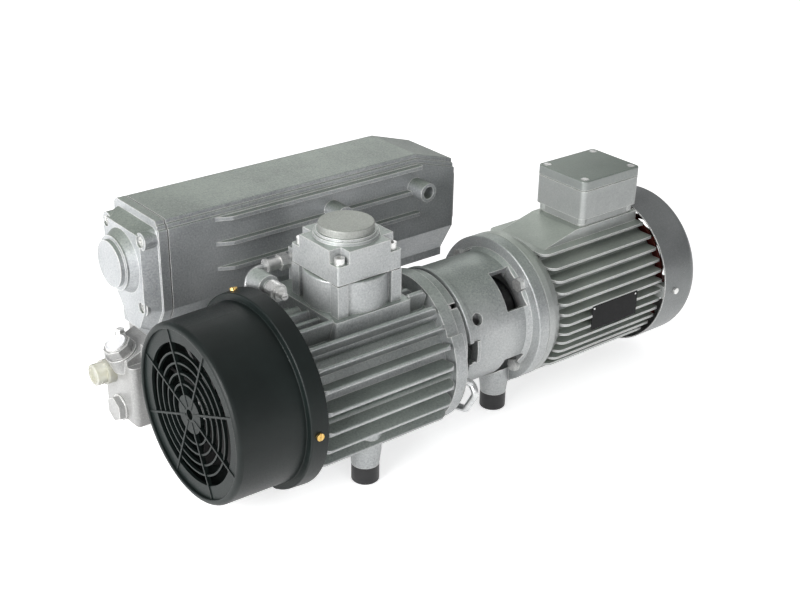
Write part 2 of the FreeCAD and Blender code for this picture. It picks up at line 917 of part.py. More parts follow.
def pump_fan():
    """Axial fan: a long hub with pitched blades."""
    hub = turned(
        [(fan_left, 0.0), (fan_left, fan_hub_radius), (fan_right, fan_hub_radius + fan_hub_taper), (fan_right, 0.0)],
        [0.0, 4.0, 0.0, 0.0])
    middle = (fan_left + fan_right) / 2.0
    blade = block(
        middle - fan_blade_length / 2, middle + fan_blade_length / 2, fan_shaft_radius + 4.0, fan_radius + 4.0,
        -fan_blade_thickness / 2, fan_blade_thickness / 2)
    blade = blade.rotated(Vector(middle, 0, 0), Vector(0, 1, 0), fan_blade_pitch)
    sweep = rod_x(fan_radius, fan_left, fan_right)
    blades = [copy.common(sweep) for copy in turned_to(blade, spread(fan_blade_count))]
    return fuse(hub, *blades).cut(rod_x(fan_shaft_radius, fan_left - cut_margin, fan_right + cut_margin))


def fan_screw():
    """Hex screw and washer that hold the fan on the shaft end."""
    seat = fan_left - fan_washer_thickness
    washer = rod_x(fan_washer_radius, seat, fan_left)
    head = prism_x(polygon(6, fan_screw_flats), 0.0, seat - fan_screw_head, seat)
    shank = rod_x(fan_screw_radius, seat, shaft_left + fan_screw_depth - 2.0)
    return fuse(washer, head, shank)


def guard_shell():
    """Turned wall of the guard: rim, recessed ring, barrel and wider rear band."""
    step_x = guard_rear - guard_step_length
    inner_front = guard_front_radius - guard_rim_width
    grille_outer = inner_front - guard_recess_width
    floor = guard_front + guard_recess_depth
    back = floor + grille_depth
    outline = [
        (guard_rear, guard_rear_radius - guard_wall),
        (guard_rear, guard_rear_radius),
        (step_x, guard_step_radius),
        (step_x, guard_barrel_radius),
        (guard_front, guard_front_radius),
        (guard_front, inner_front),
        (floor, inner_front),
        (floor, grille_outer),
        (back, grille_outer),
        (back, guard_front_radius - guard_wall),
        (step_x + guard_wall, guard_barrel_radius - guard_wall),
        (step_x + guard_wall, guard_step_radius - guard_wall),
    ]
    shell = turned(outline, [0, 1.0, 2.0, 1.0, guard_rim_round, 1.5, 0, 0, 0, 2.0, 0, 0])
    below = block(step_x, guard_rear, -guard_rear_radius, guard_rear_radius, -2 * guard_rear_radius, guard_low_z)
    below = below.cut(rod_x(guard_barrel_radius, step_x, guard_rear))
    half = math.sqrt((guard_step_radius - guard_wall) ** 2 - guard_low_z ** 2)
    sole = block(step_x, guard_rear, -half - guard_wall, half + guard_wall, guard_low_z, guard_low_z + guard_wall)
    sole = sole.cut(rod_x(guard_barrel_radius - guard_wall, step_x - cut_margin, guard_rear + cut_margin))
    return fuse(shell.cut(below), sole)


def guard_grille():
    """Rings, hub and spokes of the guard's grille, the spokes raised across the recess."""
    inner_front = guard_front_radius - guard_rim_width
    grille_outer = inner_front - guard_recess_width
    floor = guard_front + guard_recess_depth
    back = floor + grille_depth
    pitch = (grille_outer - grille_hub_radius) / (grille_ring_count + 1)
    pieces = [tube_x(grille_hub_radius, grille_hub_hole, floor - grille_hub_rise, back)]
    for k in range(1, grille_ring_count + 1):
        middle = grille_hub_radius + pitch * k
        pieces.append(tube_x(middle + grille_ring_width / 2, middle - grille_ring_width / 2, floor, back))
    spoke = block(
        floor - grille_spoke_rise, back, grille_hub_hole + 3.0, inner_front + cut_margin,
        -grille_spoke_width / 2, grille_spoke_width / 2)
    return pieces + turned_to(spoke, spread(grille_spoke_count, grille_spoke_angle))


def fan_guard():
    """Moulded drum with a step at its rear and a grille of rings and spokes in front."""
    guard = fuse(guard_shell(), *guard_grille())
    hole = rod_y(guard_screw_radius + bolt_gap, guard_front_radius, guard_rear_radius + cut_margin, guard_screw_x, 0.0)
    return guard.cut(turned_to(hole, guard_screw_angles))


def guard_screws():
    """Brass screws set radially through the guard into the front plate's lugs."""
    seat = guard_screw_seat
    crown = seat + guard_screw_height
    head = rod_y(guard_screw_head, seat, crown, guard_screw_x, 0.0)
    shank = rod_y(guard_screw_radius, seat - guard_screw_length, seat, guard_screw_x, 0.0)
    slot = block(
        guard_screw_x - 0.6, guard_screw_x + 0.6, crown - 1.2, crown + cut_margin, -guard_screw_head, guard_screw_head)
    return turned_to(fuse(head, shank).cut(slot), guard_screw_angles)


# Inlet assembly on the platform

inlet_bolt_reach = flange_half - inlet_bolt_inset
inlet_corners = [(sx, sy) for sx in (-1, 1) for sy in (-1, 1)]
inlet_bolt_places = [(inlet_x + sx * inlet_bolt_reach, inlet_y + sy * inlet_bolt_reach) for sx, sy in inlet_corners]


def corner_block(sx, sy, size, z0, z1, beyond=0.0):
    """Square block in one corner of the inlet flange, reaching beyond it if asked."""
    xs = sorted((inlet_x + sx * (flange_half - size), inlet_x + sx * (flange_half + beyond)))
    ys = sorted((inlet_y + sy * (flange_half - size), inlet_y + sy * (flange_half + beyond)))
    return block(xs[0], xs[1], ys[0], ys[1], z0, z1)


def bolt_holes(z0, z1):
    """Clearance holes for the inlet bolts."""
    return [rod_z(inlet_bolt_radius + bolt_gap, z0, z1, x, y) for x, y in inlet_bolt_places]


def inlet_body():
    """Drum with a column at each corner of the square flange above it."""
    drum = rod_z(drum_radius, platform_height, drum_top, inlet_x, inlet_y)
    rim = [edge for edge in drum.Edges if edge.BoundBox.ZMin > drum_top - 0.01]
    drum = drum.makeFillet(2.0, rim)
    columns = [corner_block(sx, sy, column_width, platform_height, drum_top) for sx, sy in inlet_corners]
    body = fuse(drum, *columns)
    cuts = [rod_z(port_radius, platform_height - cut_margin, drum_top + cut_margin, inlet_x, inlet_y)]
    cuts.append(rod_z(chamber_radius, chamber_floor, drum_top + cut_margin, inlet_x, inlet_y))
    return body.cut(cuts + bolt_holes(platform_height - cut_margin, drum_top + cut_margin))


def inlet_gasket():
    """Flat gasket between drum and square flange."""
    sheet = prism_z(square(inlet_x, inlet_y, flange_half - 1.0), 4.0, drum_top, flange_bottom)
    hole = rod_z(chamber_radius, drum_top - cut_margin, flange_bottom + cut_margin, inlet_x, inlet_y)
    return sheet.cut([hole] + bolt_holes(drum_top - cut_margin, flange_bottom + cut_margin))


def inlet_flange():
    """Square flange with a bolt pocket at each corner, a stepped neck and the valve's guide bridge."""
    body = prism_z(square(inlet_x, inlet_y, flange_half), 2.5, flange_bottom, flange_top)
    neck = rod_z(neck_radius, flange_top - cut_margin, flange_top + neck_height, inlet_x, inlet_y)
    step = rod_z(neck_step_radius, flange_top, neck_top, inlet_x, inlet_y)
    pockets = [
        corner_block(sx, sy, pocket_width, pocket_floor, flange_top + cut_margin, cut_margin) for sx, sy in inlet_corners]
    body = body.cut(pockets)
    body = fuse(body, neck, step)
    cuts = bolt_holes(flange_bottom - cut_margin, flange_top)
    cuts.append(rod_z(neck_bore_radius, flange_bottom - cut_margin, neck_top + cut_margin, inlet_x, inlet_y))
    body = body.cut(cuts)
    top = flange_bottom + valve_bridge_height
    half = valve_bridge_width / 2
    bridge = block(
        inlet_x - neck_bore_radius - cut_margin, inlet_x + neck_bore_radius + cut_margin, inlet_y - half, inlet_y + half,
        flange_bottom, top)
    boss = rod_z(2 * valve_stem_radius, flange_bottom, top, inlet_x, inlet_y)
    body = fuse(body, bridge, boss)
    guide = rod_z(valve_stem_radius + running_gap, flange_bottom - cut_margin, top + cut_margin, inlet_x, inlet_y)
    return body.cut(guide)


def inlet_cap():
    """Disc that closes the inlet neck, with a plug that fits its bore."""
    disc = rod_z(cap_radius, neck_top, neck_top + cap_height, inlet_x, inlet_y)
    rim = [edge for edge in disc.Edges if edge.BoundBox.ZMin > neck_top + cap_height - 0.01]
    disc = disc.makeFillet(cap_edge, rim)
    plug = rod_z(neck_bore_radius - plug_gap, neck_top - cap_plug_length, neck_top, inlet_x, inlet_y)
    return fuse(disc, plug)


def inlet_bolts():
    """Socket-head screws through the flange pockets and the drum into the platform."""
    crown = pocket_floor + 2 * inlet_bolt_radius
    screws = []
    for x, y in inlet_bolt_places:
        head = rod_z(inlet_bolt_radius * socket_head_factor, pocket_floor, crown, x, y)
        shank = rod_z(inlet_bolt_radius, platform_height - inlet_bolt_depth, pocket_floor, x, y)
        socket = prism_z(polygon(6, inlet_bolt_radius * 1.5, x, y), 0.0, crown - inlet_bolt_radius, crown + cut_margin)
        screws.append(fuse(head, shank).cut(socket))
    return screws


def check_valve():
    """Non-return valve plate with its guide stem, resting on the drum's port."""
    plate = rod_z(valve_plate_radius, chamber_floor, chamber_floor + valve_plate_thickness, inlet_x, inlet_y)
    stem = rod_z(valve_stem_radius, chamber_floor, flange_bottom + valve_bridge_height, inlet_x, inlet_y)
    return fuse(plate, stem)


# Gas ballast valve and oil lines

def ballast_body():
    """Valve body lying across the cylinder, with a waist behind its knurled end."""
    waist = ballast_back - ballast_body_length
    body = rod_y(ballast_body_radius, waist, ballast_back, ballast_x, ballast_z)
    neck = rod_y(ballast_neck_radius, waist - ballast_neck_length, waist, ballast_x, ballast_z)
    return fuse(body, neck)


def ballast_nut():
    """Knurled adjuster and slotted stud on the front of the gas ballast valve."""
    back = ballast_back - ballast_body_length - ballast_neck_length
    front = back - ballast_knob_length
    knob = rod_y(ballast_knob_radius, front + 5.0, back, ballast_x, ballast_z)
    nose = rod_y(ballast_neck_radius, front, front + 5.0, ballast_x, ballast_z)
    stud = rod_y(ballast_stud_radius, front - ballast_stud_length, front, ballast_x, ballast_z)
    slot = block(
        ballast_x - ballast_stud_radius, ballast_x + ballast_stud_radius, front - ballast_stud_length - cut_margin,
        front - ballast_stud_length + 2.0, ballast_z - 0.7, ballast_z + 0.7)
    return fuse(knob, nose, stud).cut(slot)


def oil_line():
    """Oil pipe from the union, bent down behind the guard to the port block."""
    points = [
        (union_left, oil_line_y, oil_line_z),
        (oil_leg_x, oil_line_y, oil_line_z),
        (oil_leg_x, oil_line_y, port_top - 10.0),
    ]
    return bent_pipe(points, pipe_bend, pipe_radius)


def oil_line_union():
    """Hex union screwed into the boss behind the inlet, with its ring on the pipe."""
    hexagon = prism_x(polygon(6, union_flats, oil_line_y, oil_line_z), 0.0, union_hex_left, union_right)
    neck = rod_x(union_thread_radius + 1.5, union_right, oil_boss_left, oil_line_y, oil_line_z)
    thread = rod_x(union_thread_radius, oil_boss_left, oil_boss_left + 12.0, oil_line_y, oil_line_z)
    sleeve = rod_x(union_body_radius, union_left, union_hex_left, oil_line_y, oil_line_z)
    ring = rod_x(union_ring_radius, union_left, union_left + union_ring_length, oil_line_y, oil_line_z)
    return fuse(hexagon, neck, thread, sleeve, ring)


def return_line():
    """Oil return pipe that loops out of the rear plate and back under it."""
    points = [
        (collar_left, -92.0, -31.0),
        (return_x, -92.0, -31.0),
        (return_x, -104.0, -46.0),
        (return_x, -86.0, -76.0),
        (return_x, -58.0, -82.0),
        (collar_left, -58.0, -82.0),
    ]
    return bent_pipe(points, return_bend, return_radius)


# Bell housing and coupling

window_angles = spread(bell_bolt_count, 45.0)
bell_inside = bell_radius - bell_wall


def bell_shell():
    """Turned body of the bell with its rim, flare and motor flange."""
    face = motor_face
    lip = spigot_radius - spigot_lip
    outline = [
        (bell_left, bell_inside),
        (bell_left, bell_rim_radius),
        (bell_left + bell_rim_length, bell_rim_radius),
        (bell_left + bell_rim_length, bell_radius),
        (-bell_bolt_head, bell_radius),
        (0.0, bell_radius + bell_flare),
        (0.0, bell_flange_radius),
        (face, bell_flange_radius),
        (face, spigot_radius),
        (face - spigot_depth, spigot_radius),
        (face - spigot_depth, lip),
        (0.0, lip),
        (-8.0, bell_inside),
    ]
    return turned(outline, [0, 1.2, 1.2, 1.0, 0, 0, 1.5, 1.5, 0, 0, 0, 0, 0])


def bell_window():
    """Window through the bell's wall beside its flange, centred on +Y."""
    outline = sector(bell_radius, -bell_window_span / 2, bell_window_span / 2)
    window = prism_x(outline, 0.0, -bell_window_length, -bell_window_gap)
    return window.cut(rod_x(bell_inside / 2, -bell_window_length, -bell_window_gap))


def bell_housing():
    """Bell with a motor flange, four access windows, a lipped notch and a foot boss."""
    base = foot_boss(bell_foot_x, bell_foot_y, 0.0)
    stay = block(
        bell_foot_x - 6.0, motor_face - 2.0, bell_foot_y - 6.0, bell_foot_y + 6.0, foot_top + 8.0, 0.0)
    hollow = rod_x(bell_inside + 1.0, bell_left, motor_face)
    notch_low = bell_notch_z - bell_notch_height / 2
    notch_high = bell_notch_z + bell_notch_height / 2
    notch_end = bell_left + bell_notch_depth
    lip = tube_x(bell_radius + bell_lip_rise, bell_inside + 1.0, notch_end, notch_end + bell_lip_width)
    keep = block(notch_end, notch_end + bell_lip_width, -bell_rim_radius, -bell_inside / 2, notch_low, notch_high)
    bell = fuse(bell_shell(), fuse(base, stay).cut(hollow), lip.common(keep))
    cuts = turned_to(bell_window(), window_angles)
    seat = bell_bolt_flats / 2 + 1.5
    for angle in window_angles:
        y, z = around(bell_bolt_circle, angle)
        cuts.append(rod_x(bell_bolt_radius + bolt_gap, -cut_margin, motor_face + cut_margin, y, z))
        cuts.append(rod_x(seat, -bell_bolt_head - cut_margin, 0.0, y, z))
    cuts.append(block(
        bell_left - cut_margin, notch_end, -bell_rim_radius - cut_margin, -bell_inside / 2, notch_low, notch_high))
    hole = rod_y(bell_hole_radius, bell_inside / 2, bell_rim_radius, -bell_hole_from_flange, 0.0)
    cuts.append(turn(hole, bell_hole_angle))
    cuts.append(stud_hole(bell_foot_x, bell_foot_y))
    return bell.cut(cuts)


def bell_bolts():
    """Hex bolts from the pump side through the bell flange into the motor flange."""
    bolts = []
    for angle in window_angles:
        y, z = around(bell_bolt_circle, angle)
        head = prism_x(polygon(6, bell_bolt_flats, y, z, angle), 0.0, -bell_bolt_head, 0.0)
        washer = rod_x(bell_bolt_flats / 2 + 0.5, -bell_washer, 0.0, y, z)
        shank = rod_x(bell_bolt_radius, 0.0, motor_face + motor_flange_thickness, y, z)
        bolts.append(fuse(head, washer, shank))
    return bolts


def coupling_hub(hub_x0, hub_x1, claw_x0, claw_x1, first):
    """One coupling half: a hub bored for its shaft, with three claws between the spider's arms."""
    hub = tube_x(coupling_radius, drive_shaft_radius, hub_x0, hub_x1)
    ring = tube_x(coupling_radius, spider_core_radius + claw_core_gap, claw_x0, claw_x1)
    half = spider_arm_width / 2 + coupling_gap
    arm = block(claw_x0 - cut_margin, claw_x1 + cut_margin, 0.0, coupling_radius + cut_margin, -half, half)
    step = 360.0 / spider_arm_count
    claws = []
    for angle in spread(spider_arm_count // 2, first):
        claw = ring.common(prism_x(sector(coupling_radius, angle - step / 2, angle + step / 2), 0.0, claw_x0, claw_x1))
        claws.append(claw.cut(turned_to(arm, [angle - step / 2, angle + step / 2])))
    return fuse(hub, *claws)


def coupling_spider():
    """Elastomer star with six arms."""
    core = rod_x(spider_core_radius, spider_left, spider_right)
    half = spider_arm_width / 2
    arm = block(spider_left, spider_right, 0.0, coupling_radius - claw_core_gap, -half, half)
    arms = turned_to(arm, spread(spider_arm_count, 180.0 / spider_arm_count))
    hole = rod_x(spider_hole_radius, spider_left - cut_margin, spider_right + cut_margin)
    return fuse(core, *arms).cut(hole)


# Motor

frame_inside = frame_radius - frame_wall


def motor_flange():
    """Drive-side motor shield with its mounting flange and centring spigot."""
    x0 = motor_face
    x1 = x0 + motor_flange_thickness
    spigot = spigot_radius - plug_gap
    outline = [
        (x0 - spigot_depth, bearing_wall_radius), (x0 - spigot_depth, spigot), (x0, spigot),
        (x0, motor_flange_radius), (x1, motor_flange_radius), (x1 + 3.0, shield_radius + 2.0),
        (frame_left, shield_radius), (frame_left, bearing_wall_radius),
    ]
    shield = turned(outline, [0, 0, 0, 1.5, 2.0, 0, 0, 0])
    bearing_left = frame_left - motor_bearing_width
    housing = tube_x(bearing_wall_radius + 1.0, motor_bearing_radius, bearing_left, frame_left)
    end = tube_x(bearing_wall_radius + 1.0, drive_shaft_radius + shaft_relief, bearing_left - 4.0, bearing_left)
    shield = fuse(shield, housing, end)
    holes = []
    for angle in window_angles:
        y, z = around(bell_bolt_circle, angle)
        holes.append(rod_x(bell_bolt_radius, x0 - cut_margin, x1 + 6.0, y, z))
    return shield.cut(holes)


def side_fin(z, side):
    """One level fin at a side of the motor frame."""
    half = fin_thickness / 2
    reach = side * math.sqrt(fin_radius ** 2 - z ** 2)
    plan = [(frame_left, 0.0), (frame_right, 0.0), (frame_right, reach), (frame_left, reach)]
    return prism_z(plan, [0, 0, fin_end_round, fin_round], z - half, z + half)


def low_fin(y):
    """One upright fin under the motor frame."""
    half = fin_thickness / 2
    reach = -math.sqrt(fin_radius ** 2 - y ** 2)
    side = [(frame_left, reach / 2), (frame_right, reach / 2), (frame_right, reach), (frame_left, reach)]
    return prism_y(side, [0, 0, fin_end_round, fin_round], y - half, y + half)


def lead_passage(z0, z1):
    """Passage for the motor leads between frame and terminal box."""
    half = lead_passage_width / 2
    return block(terminal_middle - lead_passage_length / 2, terminal_middle + lead_passage_length / 2, -half, half, z0, z1)


def plate_form(near, far):
    """Outline of the rating plate between two distances in front of the shaft axis."""
    half = plate_height / 2
    return prism_y(rectangle(plate_x, plate_x + plate_length, plate_z - half, plate_z + half), 2.0, -far, -near)


def motor_frame():
    """Finned frame with level side fins, upright lower fins and a sloped pad for the terminal box."""
    core = rod_x(frame_radius, frame_left, frame_right)
    rows = [k * fin_pitch for k in range(-fin_rows_below, fin_rows_above + 1)]
    columns = [(k - (low_fin_count - 1) / 2) * fin_pitch for k in range(low_fin_count)]
    fins = [side_fin(z, side) for z in rows for side in (-1, 1)]
    fins += [low_fin(y) for y in columns]
    pad_right = cover_x - 1.0
    low = pad_height - pad_slope_drop
    profile = [
        (frame_left + pad_start, frame_radius / 2), (pad_right, frame_radius / 2), (pad_right, pad_height),
        (terminal_x - pad_start, pad_height), (frame_left + pad_start, low),
    ]
    pad = prism_y(profile, [0, 0, 0, 8.0, 2.0], -pad_half_width, pad_half_width)
    body = fuse(core, pad, *fins)
    cuts = [rod_x(frame_inside, frame_left - cut_margin, frame_right + cut_margin)]
    cuts.append(lead_passage(frame_radius / 2, pad_height + cut_margin))
    cuts.append(plate_form(plate_seat, fin_radius + cut_margin))
    return body.cut(cuts)


def motor_end_shield():
    """Fan-side bearing shield of the motor with the lugs that carry the fan cover."""
    x0 = frame_right
    x1 = end_shield_right
    bore = drive_shaft_radius + shaft_relief
    bearing_right = x0 + 3.0
    outline = [
        (bearing_right - motor_bearing_width, motor_bearing_radius), (bearing_right - motor_bearing_width, bearing_wall_radius),
        (x0, bearing_wall_radius + 8.0), (x0, frame_radius), (x1, frame_radius - 4.0), (x1, bore),
        (bearing_right, bore), (bearing_right, motor_bearing_radius),
    ]
    shield = turned(outline)
    tip = cover_radius - cover_wall - 0.8
    half = cover_lug_width / 2
    foot = block(x0, x1, frame_radius / 2, tip, -half, half)
    finger = block(x0, cover_screw_x + 5.0, motor_fan_radius + 4.0, tip, -half, half)
    angles = spread(cover_screw_count, cover_screw_angle)
    shield = fuse(shield, *turned_to(fuse(foot, finger), angles))
    shield = shield.cut(rod_x(bore, x0 - motor_bearing_width, x1 + cut_margin))
    hole = rod_y(cover_screw_radius, cover_radius - cover_screw_length, cover_radius, cover_screw_x, 0.0)
    return shield.cut(turned_to(hole, angles))


def stator():
    """Laminated stator core with its winding heads."""
    left = frame_middle - stator_length / 2
    right = frame_middle + stator_length / 2
    core = tube_x(frame_inside, cage_radius + air_gap, left, right)
    outer = frame_inside - winding_gap
    inner = cage_radius + winding_gap
    return fuse(core, tube_x(outer, inner, left - winding_length, left), tube_x(outer, inner, right, right + winding_length))


def motor_rotor():
    """Motor shaft with its squirrel-cage rotor."""
    cage = rod_x(cage_radius, frame_middle - cage_length / 2, frame_middle + cage_length / 2)
    neck = rod_x(motor_neck_radius, frame_left, frame_right + 3.0 - motor_bearing_width)
    shaft = rod_x(drive_shaft_radius, motor_hub_left, motor_fan_left + motor_fan_length)
    return fuse(cage, neck, shaft)


def motor_bearings():
    """Ball bearings of the motor, drawn as closed rings."""
    inner = drive_shaft_radius + running_gap
    right = frame_right + 3.0
    drive = tube_x(motor_bearing_radius, inner, frame_left - motor_bearing_width, frame_left)
    return [drive, tube_x(motor_bearing_radius, inner, right - motor_bearing_width, right)]


def motor_fan():
    """Radial fan on the rear end of the motor shaft."""
    x0 = motor_fan_left
    x1 = x0 + motor_fan_length
    hub = rod_x(motor_fan_hub, x0, x1)
    disc = rod_x(motor_fan_radius - 8.0, x0 + 9.0, x0 + 12.0)
    blade = block(x0 + 11.0, x1, motor_fan_hub - 4.0, motor_fan_radius, -1.5, 1.5)
    body = fuse(hub, disc, *turned_to(blade, spread(motor_fan_blades)))
    return body.cut(rod_x(drive_shaft_radius, x0 - cut_margin, x1 + cut_margin))


def motor_fan_cover():
    """Pressed steel cover with rounded shoulder and slotted end wall."""
    inside = cover_radius - cover_wall
    outline = [
        (cover_x, inside), (cover_x, cover_radius), (cover_end, cover_radius), (cover_end, 0.0),
        (cover_end - cover_wall, 0.0), (cover_end - cover_wall, inside),
    ]
    shell = turned(outline, [0, 0, cover_round, 0, 0, cover_round - cover_wall])
    cuts = []
    for row, count in slot_rows:
        x0 = cover_end - cover_wall - cut_margin
        x1 = cover_end + cut_margin
        slot = tube_x(row + slot_width / 2, row - slot_width / 2, x0, x1)
        bridge = block(x0, x1, 0.0, row + slot_width, -slot_bridge / 2, slot_bridge / 2)
        cuts.append(slot.cut(turned_to(bridge, spread(count))))
    hole = rod_y(cover_screw_radius + bolt_gap, motor_fan_radius, cover_radius + cut_margin, cover_screw_x, 0.0)
    return shell.cut(cuts + turned_to(hole, spread(cover_screw_count, cover_screw_angle)))


def cover_screws():
    """Pan-head screws that hold the motor's fan cover to the end shield."""
    seat = cover_radius
    head = rod_y(cover_screw_head, seat, seat + cover_screw_height, cover_screw_x, 0.0)
    shank = rod_y(cover_screw_radius, seat - cover_screw_length, seat, cover_screw_x, 0.0)
    return turned_to(fuse(head, shank), spread(cover_screw_count, cover_screw_angle))


# Terminal box

lid_screw_xs = (terminal_x + lid_screw_inset, terminal_right - lid_screw_inset)
lid_screw_ys = (-terminal_half_width + lid_screw_inset, terminal_half_width - lid_screw_inset)
lid_screw_places = [(x, y) for x in lid_screw_xs for y in lid_screw_ys]


def terminal_outline(inset):
    """Rectangle of the terminal box, drawn in by an inset."""
    half = terminal_half_width - inset
    return rectangle(terminal_x + inset, terminal_right - inset, -half, half)


def terminal_box():
    """Open-topped terminal box on the motor's pad, with an entry for the cable gland."""
    waist = pad_height + terminal_neck_height
    floor = pad_height + terminal_floor
    neck = prism_z(terminal_outline(terminal_neck_inset), terminal_corner, pad_height, waist)
    upper = prism_z(terminal_outline(0.0), terminal_corner, waist, terminal_base_top)
    inset = terminal_neck_inset + terminal_wall
    inside = prism_z(terminal_outline(inset), terminal_corner - 2.0, floor, terminal_base_top + cut_margin)
    inside_high = prism_z(
        terminal_outline(terminal_wall), terminal_corner - 2.0, waist + terminal_wall, terminal_base_top + cut_margin)
    posts = [rod_z(lid_post_radius, floor - cut_margin, terminal_base_top, x, y) for x, y in lid_screw_places]
    box = fuse(fuse(neck, upper).cut([inside, inside_high]), *posts)
    cuts = [lead_passage(pad_height - cut_margin, floor + cut_margin)]
    cuts.append(rod_y(
        gland_radius, terminal_half_width / 2, terminal_half_width + cut_margin, terminal_middle, gland_z))
    for x, y in lid_screw_places:
        cuts.append(rod_z(lid_screw_radius, terminal_base_top - lid_screw_length, terminal_base_top + cut_margin, x, y))
    return box.cut(cuts)


def terminal_gasket():
    """Gasket in the seam below the terminal lid."""
    sheet = prism_z(terminal_outline(1.5), terminal_corner, terminal_base_top, lid_bottom)
    inset = lid_screw_inset + lid_post_radius
    cuts = [prism_z(terminal_outline(inset), terminal_corner, terminal_base_top - cut_margin, lid_bottom + cut_margin)]
    for x, y in lid_screw_places:
        cuts.append(rod_z(lid_screw_radius, terminal_base_top - cut_margin, lid_bottom + cut_margin, x, y))
    return sheet.cut(cuts)


def terminal_lid():
    """Lid of the terminal box with a sunk seat for each screw."""
    lid = prism_z(terminal_outline(0.0), terminal_corner, lid_bottom, terminal_top)
    rim = [edge for edge in lid.Edges if edge.BoundBox.ZMin > terminal_top - 0.01]
    lid = lid.makeFillet(lid_edge, rim)
    cuts = []
    for x, y in lid_screw_places:
        cuts.append(rod_z(lid_screw_radius + bolt_gap, lid_bottom - cut_margin, terminal_top + cut_margin, x, y))
        cuts.append(rod_z(lid_screw_head + bolt_gap, terminal_top - lid_screw_height, terminal_top + cut_margin, x, y))
    return lid.cut(cuts)


def lid_screws():
    """Pan-head screws of the terminal lid."""
    screws = []
    seat = terminal_top - lid_screw_height
    for x, y in lid_screw_places:
        head = rod_z(lid_screw_head, seat, terminal_top + 0.4, x, y)
        shank = rod_z(lid_screw_radius, terminal_base_top - lid_screw_length, seat, x, y)
        slot = block(x - lid_screw_head, x + lid_screw_head, y - 0.6, y + 0.6, terminal_top - 0.8, terminal_top + 1.0)
        screws.append(fuse(head, shank).cut(slot))
    return screws


def terminal_block():
    """Insulating block with studs for the motor leads."""
    floor = pad_height + terminal_floor
    half = block_width / 2
    back = terminal_half_width - terminal_neck_inset - terminal_wall - 4.0
    base = block(
        terminal_middle - half, terminal_middle + half, back - block_depth, back, floor, floor + block_height)
    pitch = block_width / block_stud_count
    studs = []
    for k in range(block_stud_count):
        x = terminal_middle + pitch * (k - (block_stud_count - 1) / 2)
        top = floor + block_height
        studs.append(rod_z(block_stud_radius, top - cut_margin, top + block_stud_length, x, back - block_depth / 2))
    return fuse(base, *studs)


def rating_plate():
    """Bare plate seated in a shallow flat across the tips of the side fins."""
    return plate_form(plate_seat, plate_seat + plate_thickness)


# Oil separator box, covers and filter

cover_bolt_places = [
    (box_front + cover_bolt_inset, box_front_top - cover_bolt_inset),
    (box_front + cover_low_inset, box_front_bottom + cover_low_rise),
    (box_back - cover_bolt_inset, box_front_top - cover_bolt_inset),
    (box_back - cover_bolt_inset, box_floor_z + cover_back_rise),
]
filter_left = cover_flange_left + filter_end_gap
filter_right = filter_left + filter_length


def low_outline(inset, top):
    """Lower part of the box's end view as (y, z) points, drawn in by an inset."""
    front = box_front + inset
    chamfer = box_chamfer_y + inset
    back = box_back - inset
    return [
        (front, box_front_bottom + inset / 2), (chamfer, box_chamfer_z + inset / 2), (chamfer, box_floor_z + inset),
        (back, box_floor_z + inset), (back, top), (front, top),
    ]


def high_outline(inset, low):
    """Upper part of the box's end view, with the two steps along its front edge."""
    front = box_front + inset
    middle = front + box_step_run
    upper = front + 2 * box_step_run
    top = box_top - inset
    return [
        (front, low), (box_back - inset, low), (box_back - inset, top), (upper, top), (upper, top - box_step),
        (middle, top - box_step), (middle, top - 2 * box_step), (front, top - 2 * box_step),
    ]


def box_form(inset, x0, x1):
    """The box's form between two X places: level on top, then falling away along its slope."""
    low = prism_x(low_outline(inset, box_split_z), [4.0, 0, 0, 0, 0, 0], x0, x1)
    rounds = [0, 0, box_round - inset / 2, 1.5, 0, 1.0, 0, 1.5]
    lean_low = box_split_z - box_slope_drop
    level = prism_x(high_outline(inset, lean_low), rounds, x0, slope_x)
    run = min(x1, box_right) - slope_x
    fall = Vector(run, 0, -box_slope_drop * run / box_slope_length)
    slope = Part.Face(wire_x(high_outline(inset, box_split_z), rounds, slope_x)).extrude(fall)
    return fuse(low, level, slope)


def box_fin(z, right):
    """Level fin on the front of the box, pointed at its left end."""
    left = box_left + fin_left_end
    tip = box_front - fin_depth
    plan = [
        (left, box_front + box_wall / 2), (right, box_front + box_wall / 2), (right, tip),
        (left + fin_point, tip), (left, box_front),
    ]
    return prism_z(plan, [0, 0, fin_end_round, fin_point / 2, 0], z - fin_height / 2, z + fin_height / 2)


def separator_box():
    """Hollow box with stepped front edge, sloped end, three front fins and two bosses."""
    outer = box_form(0.0, box_left, box_right)
    inner = box_form(box_wall, box_left - cut_margin, box_right - box_right_wall)
    y0 = box_chamfer_y + box_wall
    y1 = box_back - box_wall
    mouth = block(
        box_left - cut_margin, sump_right - sump_wall, y0, y1, box_floor_z - cut_margin, box_floor_z + 2 * box_wall)
    screen = block(filter_right, filter_right + box_wall, box_front, box_back, filter_screen_z, box_split_z)
    screen = fuse(screen, block(filter_right, filter_right + box_wall, y0, y1, box_split_z - cut_margin, box_front_top))
    post_right = box_left + cover_bolt_depth + box_wall
    posts = [rod_x(cover_boss_radius, box_left, post_right, y, z) for y, z in cover_bolt_places]
    inside = fuse(screen.common(outer), *[post.common(outer) for post in posts])
    fins = [box_fin(z, right) for z, right in zip(fin_levels, fin_right_ends)]
    bosses = [rod_y(boss_radius, gauge_mouth, box_front + box_wall / 2, x, boss_z) for x in (gauge_x, plain_boss_x)]
    body = fuse(outer.cut(inner), inside, *(fins + bosses))
    cuts = [mouth, rod_x(filter_bore, filter_right - cut_margin, filter_right + 2 * box_wall, filter_y, filter_z)]
    cuts.append(rod_y(gauge_thread_radius, gauge_mouth - cut_margin, gauge_mouth + gauge_thread_depth, gauge_x, boss_z))
    for y, z in cover_bolt_places:
        cuts.append(rod_x(cover_bolt_radius, box_left - cut_margin, box_left + cover_bolt_depth, y, z))
    return body.cut(cuts)


